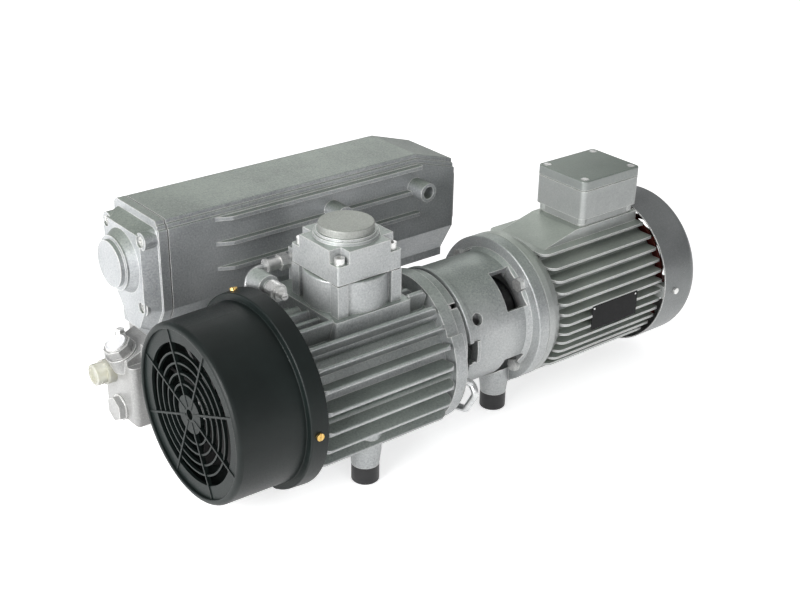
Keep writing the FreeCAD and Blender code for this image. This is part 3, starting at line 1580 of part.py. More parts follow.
def cover_seat(k):
    """X place of one cover bolt's head: sunk in a boss, or on the flange where the cover has none."""
    if k < cover_boss_count:
        return cover_flange_left - cover_boss_length + socket_head_height
    return cover_flange_left


def box_end_outline(inset):
    """Whole end view of the box without its steps, as (y, z) points."""
    return low_outline(inset, box_front_top - inset)


def cover_gasket():
    """Gasket between separator box and end cover."""
    x0 = cover_flange_right
    sheet = prism_x(box_end_outline(gasket_inset), [4.0, 0, 0, 0, box_round, 1.0], x0, box_left)
    cuts = [prism_x(box_end_outline(cover_gasket_width), 0.0, x0 - cut_margin, box_left + cut_margin)]
    for y, z in cover_bolt_places:
        cuts.append(rod_x(cover_bolt_radius + bolt_gap, x0 - cut_margin, box_left + cut_margin, y, z))
    return sheet.cut(cuts)


def dish_outline(inset, back_inset):
    """Outline of the cover's dish as (y, z) points, narrow at its foot."""
    front = box_front + inset
    back = box_back - back_inset
    top = box_front_top - inset + box_step
    low = box_chamfer_z + inset
    return [
        (front, top), (front, box_front_bottom), (box_chamfer_y + inset / 2, low), (cover_neck_y, low),
        (back, cover_chamfer_z), (back, top),
    ]


def end_cover():
    """Dished cover on the left end of the box, with corner bosses and the blank exhaust boss."""
    stepped = [(y, z) for y, z in high_outline(0.0, box_floor_z)[1:]]
    rim = [(box_front, box_front_bottom), (box_chamfer_y, box_chamfer_z), (box_chamfer_y, box_floor_z)] + stepped
    rounds = [4.0, 0, 0, 0, box_round, 1.5, 0, 1.0, 0, 1.5]
    flange = prism_x(rim, rounds, cover_flange_left, cover_flange_right)
    envelope = prism_x(rim, rounds, dish_left - cover_dish_depth, cover_flange_right)
    dish_rounds = [10.0, 8.0, 8.0, 6.0, 8.0, 10.0]
    foot_wire = wire_x(dish_outline(cover_dish_wall / 2, cover_dish_wall / 2), dish_rounds, cover_flange_left + cut_margin)
    face_wire = wire_x(dish_outline(cover_dish_inset, cover_dish_wall), dish_rounds, dish_left)
    dish = Part.makeLoft([foot_wire, face_wire], True, True)
    boss_left = cover_flange_left - cover_boss_length
    bosses = [
        rod_x(cover_boss_radius, boss_left, cover_flange_left + cut_margin, y, z)
        for y, z in cover_bolt_places[:cover_boss_count]]
    cone_left = dish_left - exhaust_cone_length
    ring_left = cone_left - exhaust_ring_length
    cone = Part.makeCone(
        exhaust_cone_radius, exhaust_ring_radius, exhaust_cone_length + cut_margin,
        Vector(dish_left + cut_margin, exhaust_y, exhaust_z), Vector(-1, 0, 0))
    ring = rod_x(exhaust_ring_radius, ring_left, cone_left + cut_margin, exhaust_y, exhaust_z)
    disc = rod_x(exhaust_disc_radius, ring_left - exhaust_disc_length, ring_left + cut_margin, exhaust_y, exhaust_z)
    body = fuse(flange, dish, cone, ring, disc, *[boss.common(envelope) for boss in bosses])
    hollow_inset = cover_dish_inset + cover_dish_wall
    hollow_left = dish_left + cover_dish_wall
    hollow = prism_x(
        dish_outline(hollow_inset, hollow_inset), cover_dish_wall / 2, hollow_left, cover_flange_right + cut_margin)
    posts = [rod_x(cover_boss_radius, hollow_left - cut_margin, cover_flange_right, y, z) for y, z in cover_bolt_places]
    cuts = [hollow.cut(posts)]
    head = cover_bolt_radius * socket_head_factor + bolt_gap
    for k, (y, z) in enumerate(cover_bolt_places):
        cuts.append(rod_x(cover_bolt_radius + bolt_gap, dish_left, cover_flange_right + cut_margin, y, z))
        cuts.append(rod_x(head, dish_left - cut_margin, cover_seat(k), y, z))
    return body.cut(cuts)


def cover_bolts():
    """Socket-head screws sunk in the end cover's bosses."""
    end = box_left + cover_bolt_depth
    places = enumerate(cover_bolt_places)
    return [socket_screw_x(cover_bolt_radius, cover_seat(k), end, y, z) for k, (y, z) in places]


def rear_cover():
    """Plate that closes the right end of the separator box."""
    front = box_front + rear_cover_inset
    back = box_back - rear_cover_inset
    top = box_front_top - box_slope_drop - rear_cover_inset
    outline = [
        (front, box_front_bottom + rear_cover_inset), (box_chamfer_y + rear_cover_inset, box_chamfer_z + rear_cover_inset),
        (back, box_chamfer_z + rear_cover_inset), (back, top), (front, top),
    ]
    return prism_x(outline, rear_cover_inset, box_right, box_right + rear_cover_thickness)


def exhaust_filter():
    """Filter cartridge along the box: a sleeve between two caps, the right one against the screen wall."""
    sleeve = tube_x(filter_radius, filter_bore, filter_left + filter_cap, filter_right - filter_cap, filter_y, filter_z)
    left = rod_x(filter_radius + filter_rim, filter_left, filter_left + filter_cap, filter_y, filter_z)
    right = tube_x(filter_radius + filter_rim, filter_bore, filter_right - filter_cap, filter_right, filter_y, filter_z)
    return fuse(sleeve, left, right)


# Oil sump with its plugs and sight glass

seat_normal = Vector(-math.sin(math.radians(slope_angle)), 0, math.cos(math.radians(slope_angle)))
seat_place = Vector(
    sump_left + plug_centre_run, exhaust_y, slope_end_z + plug_centre_run * math.tan(math.radians(slope_angle)))


def on_slope(shape):
    """Shape built round Z and moved to the oil fill plug's place on the sloped shoulder."""
    shape = shape.rotated(Vector(0, 0, 0), Vector(0, 1, 0), -slope_angle)
    return shape.translated(seat_place + seat_normal * plug_boss_rise)


def sump_form(inset, ledge, top):
    """The sump's main form, drawn in by an inset, with a ledge at its left end."""
    outline = [
        (sump_right - inset, top), (sump_right - inset, sump_bottom + inset), (sump_left + inset, sump_bottom + inset),
        (sump_left + inset, sump_ledge_z - inset), (ledge, sump_ledge_z - inset), (ledge, top),
    ]
    return prism_y(outline, [0, 6.0, 6.0, 0, 2.0, 0], sump_front + inset, sump_back - inset)


def oil_sump():
    """Oil reservoir under the box, with a sloped shoulder, round plug boss and two foot bosses."""
    body = sump_form(0.0, sump_ledge_x, box_floor_z)
    corner = prism_z(
        rectangle(sump_left, sump_right, sump_front, sump_back), [sump_corner, 2.0, 2.0, sump_corner],
        sump_bottom - cut_margin, box_floor_z + cut_margin)
    body = body.common(corner)
    low = sump_ledge_z - sump_wall
    shoulder = prism_y(
        [(sump_left, low), (sump_left, slope_end_z), (sump_left + slope_run, box_floor_z),
         (sump_left + slope_run, low)], 0.0, slope_front, slope_back)
    above = prism_y(
        [(sump_left, slope_end_z), (sump_left + slope_run, box_floor_z), (sump_left, box_floor_z)],
        0.0, slope_front, sump_back)
    behind = block(sump_left, sump_left + slope_run, slope_back, sump_back, sump_ledge_z, box_floor_z)
    boss = on_slope(rod_z(plug_boss_radius, -plug_boss_depth, 0.0, 0.0, 0.0))
    spot = rod_x(sight_radius + bolt_gap, sump_left - plug_boss_radius, sump_left, sight_y, sight_z)
    body = fuse(body.cut([above, behind]), shoulder, boss.cut(spot))
    cuts = [sump_form(sump_wall, sump_left + slope_run + sump_wall, box_floor_z + cut_margin)]
    cuts.append(on_slope(rod_z(fill_thread_radius, -plug_boss_depth - sump_wall, cut_margin, 0.0, 0.0)))
    for x in (sump_front_foot_x, sump_rear_foot_x):
        cuts.append(stud_hole(x, sump_foot_y))
    thread_end = sump_left + plug_thread_length + cut_margin
    cuts.append(rod_x(sight_thread_radius, sump_left - cut_margin, thread_end, sight_y, sight_z))
    cuts.append(rod_x(drain_thread_radius, sump_left - cut_margin, thread_end, exhaust_y, drain_z))
    for x in exhaust_bore_places:
        cuts.append(rod_y(exhaust_bore_radius, sump_front - cut_margin, sump_front + 2 * sump_wall, x, exhaust_bore_z))
    return body.cut(cuts)


def sight_glass():
    """Round oil sight glass screwed into the sump's end wall."""
    left = sump_left - sight_length
    base = rod_x(sight_radius, sump_left - sight_base_length, sump_left, sight_y, sight_z)
    head = rod_x(sight_barrel_radius, left, sump_left, sight_y, sight_z)
    rim = [edge for edge in head.Edges if edge.BoundBox.XMax < left + 0.01]
    head = head.makeFillet(1.5, rim)
    thread = rod_x(sight_thread_radius, sump_left, sump_left + plug_thread_length, sight_y, sight_z)
    window = rod_x(sight_window_radius, left - cut_margin, left + sight_window_depth, sight_y, sight_z)
    return fuse(base, head, thread).cut(window)


def drain_plug():
    """Hex oil drain plug low in the sump's end wall."""
    collar_end = sump_left - drain_collar_length
    collar = rod_x(drain_collar_radius, collar_end, sump_left, exhaust_y, drain_z)
    head = prism_x(polygon(6, drain_flats, exhaust_y, drain_z, 30.0), 1.5, sump_left - drain_length, collar_end)
    thread = rod_x(drain_thread_radius, sump_left, sump_left + plug_thread_length, exhaust_y, drain_z)
    return fuse(collar, head, thread)


def fill_plug():
    """Octagonal oil fill plug with a disc on top, screwed into the sloped boss."""
    cap = prism_z(polygon(8, fill_plug_flats, 0.0, 0.0, 22.5), 2.0, 0.0, fill_plug_height)
    disc = rod_z(fill_disc_radius, fill_plug_height, fill_plug_height + fill_disc_height, 0.0, 0.0)
    thread = rod_z(fill_thread_radius, -fill_thread_length, 0.0, 0.0, 0.0)
    return on_slope(fuse(cap, disc, thread))


# Rubber feet

foot_places = {
    "foot_cylinder": (cylinder_foot_x, cylinder_foot_y),
    "foot_bell": (bell_foot_x, bell_foot_y),
    "foot_sump_left": (sump_front_foot_x, sump_foot_y),
    "foot_sump_right": (sump_rear_foot_x, sump_foot_y),
}


def rubber_foot(x, y):
    """Rubber buffer with its threaded stud."""
    rubber = rod_z(foot_radius, ground_z, foot_top, x, y)
    rubber = rubber.makeFillet(foot_edge, [edge for edge in rubber.Edges if edge.BoundBox.ZMax < ground_z + 0.01])
    stud = rod_z(foot_stud_radius, foot_top, foot_top + foot_stud_length - cut_margin, x, y)
    return fuse(rubber, stud)


def build_pieces():
    """Every piece by name, each as a list of separate solids."""
    pump_hub_left = pump_hub_right - hub_length
    motor_hub_right = motor_hub_left + hub_length
    pieces = {
        "cylinder": [cylinder()],
        "front_end_plate": [front_plate()],
        "rear_end_plate": [rear_plate()],
        "front_plate_bolts": plate_bolts(front_plate_left, cylinder_left + plate_bolt_depth - cut_margin),
        "rear_plate_bolts": plate_bolts(collar_left, cylinder_right - plate_bolt_depth + cut_margin),
        "rotor": [rotor()],
        "vanes": vanes(),
        "front_bearing": [bearing(cylinder_left - bearing_length, cylinder_left)],
        "rear_bearing": [bearing(cylinder_right, cylinder_right + bearing_length)],
        "front_shaft_seal": [shaft_seal(front_hub_left, front_seal_right)],
        "rear_shaft_seal": [shaft_seal(rear_seal_left, rear_hub_right)],
        "pump_fan": [pump_fan()],
        "fan_screw": [fan_screw()],
        "fan_guard": [fan_guard()],
        "guard_screws": guard_screws(),
        "inlet_body": [inlet_body()],
        "inlet_gasket": [inlet_gasket()],
        "inlet_flange": [inlet_flange()],
        "inlet_cap": [inlet_cap()],
        "inlet_bolts": inlet_bolts(),
        "check_valve": [check_valve()],
        "ballast_valve_body": [ballast_body()],
        "ballast_valve_nut": [ballast_nut()],
        "oil_line": [oil_line()],
        "oil_line_union": [oil_line_union()],
        "oil_return_line": [return_line()],
        "bell_housing": [bell_housing()],
        "bell_bolts": bell_bolts(),
        "pump_coupling_hub": [
            coupling_hub(pump_hub_left, pump_hub_right, pump_hub_right, spider_right - claw_tip_gap, 0.0)],
        "motor_coupling_hub": [
            coupling_hub(motor_hub_left, motor_hub_right, spider_left + claw_tip_gap, motor_hub_left, 60.0)],
        "coupling_spider": [coupling_spider()],
        "motor_flange": [motor_flange()],
        "motor_frame": [motor_frame()],
        "motor_end_shield": [motor_end_shield()],
        "motor_stator": [stator()],
        "motor_rotor": [motor_rotor()],
        "motor_bearings": motor_bearings(),
        "motor_fan": [motor_fan()],
        "motor_fan_cover": [motor_fan_cover()],
        "cover_screws": cover_screws(),
        "terminal_box": [terminal_box()],
        "terminal_gasket": [terminal_gasket()],
        "terminal_lid": [terminal_lid()],
        "terminal_lid_screws": lid_screws(),
        "terminal_block": [terminal_block()],
        "rating_plate": [rating_plate()],
        "separator_box": [separator_box()],
        "cover_gasket": [cover_gasket()],
        "end_cover": [end_cover()],
        "end_cover_bolts": cover_bolts(),
        "rear_cover": [rear_cover()],
        "exhaust_filter": [exhaust_filter()],
        "oil_sump": [oil_sump()],
        "oil_fill_plug": [fill_plug()],
        "sight_glass": [sight_glass()],
        "drain_plug": [drain_plug()],
    }
    for name, (x, y) in foot_places.items():
        pieces[name] = [rubber_foot(x, y)]
    return pieces


def ground_centre(pieces):
    """Middle of the underside of the whole machine."""
    whole = Part.makeCompound([solid for solids in pieces.values() for solid in solids])
    box = whole.optimalBoundingBox(False)
    return Vector((box.XMin + box.XMax) / 2, (box.YMin + box.YMax) / 2, ground_z)


def export(pieces):
    """Move everything to the middle of the underside and write one STEP file per piece."""
    os.makedirs("parts", exist_ok=True)
    origin = ground_centre(pieces)
    for name, solids in pieces.items():
        shape = solids[0] if len(solids) == 1 else Part.makeCompound(solids)
        shape.translated(origin * -1).exportStep(os.path.join("parts", name + ".step"))


pieces = build_pieces()
export(pieces)
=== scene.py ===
import math

import bmesh
import bpy
from mathutils import Matrix, Vector


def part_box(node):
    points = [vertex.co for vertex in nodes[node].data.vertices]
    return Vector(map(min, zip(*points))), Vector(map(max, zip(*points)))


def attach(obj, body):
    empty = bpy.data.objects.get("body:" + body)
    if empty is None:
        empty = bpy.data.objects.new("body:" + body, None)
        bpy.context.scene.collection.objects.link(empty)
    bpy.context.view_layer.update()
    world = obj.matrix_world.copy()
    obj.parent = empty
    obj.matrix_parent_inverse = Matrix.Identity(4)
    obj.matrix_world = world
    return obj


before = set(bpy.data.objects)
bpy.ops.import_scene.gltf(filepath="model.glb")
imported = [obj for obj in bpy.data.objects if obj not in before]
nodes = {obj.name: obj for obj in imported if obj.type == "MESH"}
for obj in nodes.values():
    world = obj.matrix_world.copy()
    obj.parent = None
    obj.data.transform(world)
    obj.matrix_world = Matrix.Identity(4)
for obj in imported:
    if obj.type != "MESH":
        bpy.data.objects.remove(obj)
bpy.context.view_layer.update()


# Place of the drawing's own frame in the scene: it starts at the bell's flange, on the shaft line
flange_from_guard = 0.4645
guard_low, guard_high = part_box("fan_guard")
start_x = guard_low.x + flange_from_guard
start_y = (guard_low.y + guard_high.y) / 2
start_z = 0.130


def at(x, y, z):
    """Point in metres from millimetres in the drawing's own frame."""
    return Vector((start_x + x / 1000, start_y + y / 1000, start_z + z / 1000))


# Camera
azimuth = math.radians(-39.16)
elevation = math.radians(28.17)
roll = math.radians(1.03)
focal_pixels = 1351.43
image_width = 800
image_height = 600
centre_x = 401.66
centre_y = 355.95
sensor = 36.0
camera_stand = (-1116.6, -1189.2, 797.1)

level = math.cos(elevation)
back = Vector((math.sin(azimuth) * level, -math.cos(azimuth) * level, math.sin(elevation)))
forward = -back
right = forward.cross(Vector((0, 0, 1))).normalized()
down = forward.cross(right)
turned_right = right * math.cos(roll) - down * math.sin(roll)
turned_down = right * math.sin(roll) + down * math.cos(roll)
lens_data = bpy.data.cameras.new("camera")
lens_data.sensor_width = sensor
lens_data.lens = focal_pixels * sensor / image_width
lens_data.shift_x = (image_width / 2 - centre_x) / image_width
lens_data.shift_y = (centre_y - image_height / 2) / image_width
lens_data.clip_start = 0.05
lens_data.clip_end = 60
camera = bpy.data.objects.new("camera", lens_data)
bpy.context.scene.collection.objects.link(camera)
place = Matrix.Identity(4)
for row in range(3):
    place[row][0] = turned_right[row]
    place[row][1] = -turned_down[row]
    place[row][2] = back[row]
    place[row][3] = at(*camera_stand)[row]
camera.matrix_world = place
bpy.context.scene.camera = camera
bpy.context.scene.view_settings.view_transform = "Standard"


# Shader helpers: the share of a noise's values that counts, how well the rounded normal fits the true one on
# flat ground and at a full edge, and how steep a surface is that counts as wall or as top
noise_low = 0.3
noise_high = 0.7
flat_fit = 0.985
edge_fit = 0.85
edge_round_share = 0.4
wall_rise = 0.3
top_rise = 0.9


class Paint:
    """One node material with short helpers for its graph."""

    def __init__(self, name):
        self.material = bpy.data.materials.new(name)
        self.material.use_nodes = True
        self.tree = self.material.node_tree
        self.shader = self.tree.nodes["Principled BSDF"]
        self.coords = self.tree.nodes.new("ShaderNodeTexCoord")

    def node(self, kind, **values):
        """New node of the graph with its settings."""
        made = self.tree.nodes.new(kind)
        for key, value in values.items():
            setattr(made, key, value)
        return made

    def link(self, start, end):
        """Join an output to an input."""
        self.tree.links.new(start, end)

    def set(self, **values):
        """Plain values of the surface, by short names."""
        names = {"color": "Base Color", "metallic": "Metallic", "roughness": "Roughness", "ior": "IOR",
                 "coat": "Coat Weight", "coat_roughness": "Coat Roughness", "specular": "Specular IOR Level",
                 "transmission": "Transmission Weight"}
        for key, value in values.items():
            if key == "color":
                value = (*value, 1.0)
            self.shader.inputs[names[key]].default_value = value
        return self

    def noise(self, scale, detail=3.0, roughness=0.55, stretch=(1.0, 1.0, 1.0)):
        """Noise in the part's own place, scale in waves per metre."""
        mapping = self.node("ShaderNodeMapping")
        mapping.inputs["Scale"].default_value = stretch
        self.link(self.coords.outputs["Object"], mapping.inputs["Vector"])
        made = self.node("ShaderNodeTexNoise")
        made.inputs["Scale"].default_value = scale
        made.inputs["Detail"].default_value = detail
        made.inputs["Roughness"].default_value = roughness
        self.link(mapping.outputs["Vector"], made.inputs["Vector"])
        return made.outputs[0]

    def ramp(self, source, stops):
        """Colour ramp with stops of (place, colour)."""
        made = self.node("ShaderNodeValToRGB")
        ramp = made.color_ramp
        while len(ramp.elements) < len(stops):
            ramp.elements.new(0.5)
        for element, (where, color) in zip(ramp.elements, stops):
            element.position = where
            element.color = (*color, 1.0)
        self.link(source, made.inputs["Fac"])
        return made.outputs["Color"]

    def mix(self, share, first, second, mode="MIX"):
        """Two colours mixed by a share, which may be a number or a socket."""
        made = self.node("ShaderNodeMix", data_type="RGBA", blend_type=mode)
        for socket, value in ((made.inputs[0], share), (made.inputs[6], first), (made.inputs[7], second)):
            if isinstance(value, bpy.types.NodeSocket):
                self.link(value, socket)
            elif isinstance(value, tuple):
                socket.default_value = (*value, 1.0)
            else:
                socket.default_value = value
        return made.outputs[2]

    def spread(self, source, low, high, out_low, out_high):
        """A value mapped from one range to another."""
        made = self.node("ShaderNodeMapRange")
        for index, value in ((1, low), (2, high), (3, out_low), (4, out_high)):
            made.inputs[index].default_value = value
        self.link(source, made.inputs[0])
        return made.outputs[0]

    def edges(self, radius):
        """How near a surface point lies to a sharp edge, and a normal that rounds the edge off."""
        wide = self.node("ShaderNodeBevel", samples=6)
        wide.inputs["Radius"].default_value = radius
        bevel = self.node("ShaderNodeBevel", samples=4)
        bevel.inputs["Radius"].default_value = radius * edge_round_share
        geometry = self.node("ShaderNodeNewGeometry")
        dot = self.node("ShaderNodeVectorMath", operation="DOT_PRODUCT")
        self.link(wide.outputs["Normal"], dot.inputs[0])
        self.link(geometry.outputs["Normal"], dot.inputs[1])
        return self.spread(dot.outputs["Value"], flat_fit, edge_fit, 0.0, 1.0), bevel.outputs["Normal"]

    def upward(self):
        """One on surfaces that face up, zero on walls."""
        geometry = self.node("ShaderNodeNewGeometry")
        parts = self.node("ShaderNodeSeparateXYZ")
        self.link(geometry.outputs["Normal"], parts.inputs[0])
        return self.spread(parts.outputs["Z"], wall_rise, top_rise, 0.0, 1.0)

    def bump(self, source, depth, normal=None, strength=1.0):
        """Relief of a given depth in metres, laid on an earlier normal if there is one."""
        made = self.node("ShaderNodeBump")
        made.inputs["Strength"].default_value = strength
        made.inputs["Distance"].default_value = depth
        self.link(source, made.inputs["Height"])
        if normal is not None:
            self.link(normal, made.inputs["Normal"])
        return made.outputs["Normal"]

    def uneven(self, source, rough, below, above):
        """Roughness that a noise moves below and above a mean."""
        return self.spread(source, noise_low, noise_high, rough - below, rough + above)

    def finish(self, color=None, roughness=None, normal=None):
        """Join what is given to the surface and hand over the material."""
        if color is not None:
            self.link(color, self.shader.inputs["Base Color"])
        if roughness is not None:
            self.link(roughness, self.shader.inputs["Roughness"])
        if normal is not None:
            self.link(normal, self.shader.inputs["Normal"])
        return self.material


# Values that the finishes share, lengths in metres
dust = (0.06, 0.06, 0.07)
cast_edge_radius = 0.0022
plastic_edge_radius = 0.0008
metal_edge_radius = 0.0005
tool_line_depth = 0.00004
speck_grain_ratio = 3.1
speck_depth_share = 0.35


def cast_paint(name, dark, light, edge, painted_top_shade, metallic=0.5, rough=0.36, grain=420.0, depth=0.0005,
               speckle=0.26):
    """Sand cast metal under sprayed paint: fine grain, painted edge highlights, painted shade on tops, dust
    in the low places.
    """
    paint = Paint(name).set(metallic=metallic)
    broad = paint.noise(9.0, 3.0)
    fine = paint.noise(grain, 4.0, 0.65)
    speck = paint.noise(grain * speck_grain_ratio, 2.0, 0.7)
    color = paint.ramp(broad, [(0.35, dark), (0.65, light)])
    color = paint.mix(paint.spread(fine, 0.5, 0.66, 0.0, speckle), color, edge)
    color = paint.mix(paint.spread(fine, 0.46, 0.3, 0.0, speckle * 1.2), color, dust)
    # Faces that point up are multiplied by the top colour: painted shade on the tops
    color = paint.mix(paint.upward(), color, painted_top_shade, "MULTIPLY")
    # Sharp edges are lightened towards the edge colour in uneven patches: a painted highlight along the edges
    mask, rounded = paint.edges(cast_edge_radius)
    edge_highlight = paint.node("ShaderNodeMath", operation="MULTIPLY")
    paint.link(mask, edge_highlight.inputs[0])
    paint.link(paint.spread(paint.noise(60.0, 4.0), 0.3, 0.5, 0.55, 1.0), edge_highlight.inputs[1])
    color = paint.mix(edge_highlight.outputs[0], color, edge)
    normal = paint.bump(fine, depth, rounded, 0.7)
    normal = paint.bump(speck, depth * speck_depth_share, normal, 0.5)
    return paint.finish(color, paint.uneven(speck, rough, 0.08, 0.12), normal)


def moulded(name, color, light, rough=0.45, grain=900.0, depth=0.00012, specular=0.5):
    """Moulded plastic or rubber with a fine texture, slight tone changes and a painted highlight along its
    edges.
    """
    paint = Paint(name).set(metallic=0.0, specular=specular)
    broad = paint.noise(14.0, 3.0)
    fine = paint.noise(grain, 3.0, 0.6)
    mask, rounded = paint.edges(plastic_edge_radius)
    tone = paint.ramp(broad, [(0.3, color), (0.75, light)])
    # Edges are lightened towards the light tone: a painted highlight along the edges
    tone = paint.mix(paint.spread(mask, 0.0, 1.0, 0.0, 0.4), tone, light)
    normal = paint.bump(fine, depth, rounded, 0.6)
    return paint.finish(tone, paint.uneven(fine, rough, 0.06, 0.1), normal)


def machined(name, color, light, rough=0.28, metallic=1.0, stretch=(1.0, 40.0, 40.0), scale=40.0):
    """Turned, ground or plated metal with fine tool lines, faint spots and a painted highlight along its
    edges.
    """
    paint = Paint(name).set(metallic=metallic)
    lines = paint.noise(scale, 4.0, 0.6, stretch)
    spots = paint.noise(180.0, 3.0)
    tone = paint.ramp(spots, [(0.35, color), (0.7, light)])
    mask, rounded = paint.edges(metal_edge_radius)
    # Edges are lightened towards the light tone: a painted highlight along the edges
    tone = paint.mix(paint.spread(mask, 0.0, 1.0, 0.0, 0.5), tone, light)
    normal = paint.bump(lines, tool_line_depth, rounded, 0.5)
    return paint.finish(tone, paint.uneven(lines, rough, 0.06, 0.12), normal)


# In each cast paint the third colour gives the bright grain specks and the painted edge highlight; the last
# is painted shade on faces that point up
silver = cast_paint("silver_hammer_paint", (0.34, 0.355, 0.36), (0.47, 0.485, 0.485), (0.78, 0.78, 0.76),
                    (0.76, 0.82, 0.76))
box_silver = cast_paint("box_silver_paint", (0.32, 0.335, 0.345), (0.45, 0.465, 0.475), (0.78, 0.78, 0.76),
                        (0.66, 0.72, 0.63))
bright_cast = cast_paint("bright_cast_aluminium", (0.27, 0.27, 0.265), (0.38, 0.38, 0.375), (0.92, 0.92, 0.9),
                         (1.0, 1.0, 1.0), metallic=0.35, rough=0.36, grain=520.0, depth=0.0003, speckle=0.15)
motor_silver = cast_paint("motor_silver_paint", (0.33, 0.345, 0.34), (0.45, 0.465, 0.455), (0.80, 0.81, 0.78),
                          (0.90, 0.96, 0.88), metallic=0.38, rough=0.34, grain=380.0, depth=0.00014,
                          speckle=0.1)
lid_silver = cast_paint("lid_silver_paint", (0.27, 0.29, 0.28), (0.33, 0.35, 0.34), (0.75, 0.77, 0.74),
                        (0.56, 0.63, 0.56), metallic=0.3, rough=0.36, grain=380.0, depth=0.0001, speckle=0.06)
cover_paint = cast_paint("fan_cover_paint", (0.17, 0.18, 0.18), (0.23, 0.24, 0.24), (0.82, 0.82, 0.8),
                         (1.0, 1.0, 1.0), metallic=0.5, rough=0.34, grain=380.0, depth=0.00008, speckle=0.05)
guard_black = moulded("guard_black_plastic", (0.003, 0.0055, 0.005), (0.008, 0.013, 0.012), 0.42, 700.0,
                      0.0001, specular=0.28)
fan_black = moulded("fan_black_plastic", (0.006, 0.006, 0.006), (0.014, 0.014, 0.014), 0.5)
rubber_black = moulded("foot_black_rubber", (0.006, 0.006, 0.007), (0.02, 0.02, 0.021), 0.42, 500.0, 0.0002)
seal_black = moulded("seal_black_rubber", (0.012, 0.012, 0.012), (0.03, 0.03, 0.03), 0.5)
gasket_dark = moulded("gasket_fibre", (0.03, 0.03, 0.028), (0.07, 0.07, 0.065), 0.7, 600.0, 0.0002)
cap_grey = cast_paint("cap_silver", (0.24, 0.25, 0.235), (0.33, 0.34, 0.32), (0.78, 0.78, 0.76),
                      (0.9, 0.93, 0.88), metallic=0.35, grain=520.0, depth=0.0003, speckle=0.2)
valve_dark = moulded("valve_dark_plastic", (0.05, 0.05, 0.05), (0.11, 0.11, 0.11), 0.45)
block_dark = moulded("terminal_block_plastic", (0.02, 0.02, 0.02), (0.05, 0.05, 0.05), 0.4)
fan_red = moulded("motor_fan_red_plastic", (0.16, 0.03, 0.022), (0.26, 0.06, 0.045), 0.5)
spider_red = moulded("spider_red_rubber", (0.30, 0.05, 0.035), (0.42, 0.09, 0.06), 0.4, 800.0, 0.00015)
filter_white = moulded("filter_fibre", (0.62, 0.62, 0.58), (0.78, 0.78, 0.74), 0.9, 300.0, 0.0008)
plate_black = moulded("plate_black_enamel", (0.003, 0.003, 0.0035), (0.007, 0.007, 0.008), 0.4, 300.0,
                      0.00003, specular=0.15)
cap_white = moulded("cap_white_plastic", (0.72, 0.72, 0.73), (0.86, 0.86, 0.87), 0.3, 300.0, 0.00005)
zinc = machined("zinc_plated_steel", (0.66, 0.66, 0.65), (0.84, 0.84, 0.82), 0.3, 0.8)
brass = machined("brass", (0.62, 0.40, 0.12), (0.85, 0.62, 0.26), 0.24)
pipe_zinc = machined("pipe_zinc_plate", (0.50, 0.51, 0.51), (0.72, 0.73, 0.73), 0.30)
iron = machined("ground_iron", (0.28, 0.28, 0.29), (0.40, 0.40, 0.41), 0.34)
carbon = machined("carbon_vane_resin", (0.03, 0.03, 0.03), (0.06, 0.06, 0.06), 0.5, 0.0)
bronze = machined("bearing_bronze", (0.45, 0.33, 0.16), (0.62, 0.48, 0.26), 0.32)
shaft = machined("ground_shaft_steel", (0.45, 0.45, 0.46), (0.62, 0.62, 0.63), 0.28)
core = machined("stacked_laminations", (0.22, 0.22, 0.23), (0.36, 0.36, 0.37), 0.4,
                stretch=(60.0, 1.0, 1.0), scale=30.0)
hub_silver = machined("turned_aluminium", (0.55, 0.55, 0.56), (0.74, 0.74, 0.74), 0.32)


def clear_glass():
    """Ivory, half clear plastic of the oil sight glass."""
    paint = Paint("sight_glass_clear")
    paint.set(metallic=0.0, transmission=0.55, ior=1.49, coat=0.5, coat_roughness=0.08)
    broad = paint.noise(70.0, 3.0)
    tone = paint.ramp(broad, [(0.35, (0.74, 0.73, 0.60)), (0.7, (0.90, 0.90, 0.84))])
    rounded = paint.edges(plastic_edge_radius)[1]
    normal = paint.bump(paint.noise(400.0, 3.0), 0.00008, rounded, 0.5)
    return paint.finish(tone, paint.spread(broad, noise_low, noise_high, 0.12, 0.28), normal)


sight = clear_glass()

looks = {}
for look, names in (
        (silver, ("cylinder", "front_end_plate", "rear_end_plate", "bell_housing", "inlet_body",
                  "inlet_flange", "ballast_valve_body")),
        (box_silver, ("separator_box", "end_cover", "rear_cover")),
        (bright_cast, ("oil_sump", "oil_fill_plug", "drain_plug")),
        (motor_silver, ("motor_flange", "motor_frame", "motor_end_shield", "terminal_box")),
        (lid_silver, ("terminal_lid",)),
        (cover_paint, ("motor_fan_cover",)),
        (cap_grey, ("inlet_cap",)),
        (zinc, ("front_plate_bolts", "rear_plate_bolts", "bell_bolts", "inlet_bolts", "end_cover_bolts",
                "cover_screws", "terminal_lid_screws", "fan_screw", "ballast_valve_nut", "oil_line_union")),
        (pipe_zinc, ("oil_line", "oil_return_line")),
        (brass, ("guard_screws",)),
        (iron, ("rotor",)),
        (carbon, ("vanes",)),
        (bronze, ("front_bearing", "rear_bearing")),
        (shaft, ("motor_rotor", "motor_bearings")),
        (core, ("motor_stator",)),
        (hub_silver, ("pump_coupling_hub", "motor_coupling_hub")),
        (guard_black, ("fan_guard",)),
        (fan_black, ("pump_fan",)),
        (rubber_black, ("foot_cylinder", "foot_bell", "foot_sump_left", "foot_sump_right")),
        (seal_black, ("front_shaft_seal", "rear_shaft_seal")),
        (gasket_dark, ("inlet_gasket", "cover_gasket", "terminal_gasket")),
        (valve_dark, ("check_valve",)),
        (block_dark, ("terminal_block",)),
        (fan_red, ("motor_fan",)),
        (spider_red, ("coupling_spider",)),
        (filter_white, ("exhaust_filter",)),
        (plate_black, ("rating_plate",)),
        (sight, ("sight_glass",))):
    for name in names:
        looks[name] = look
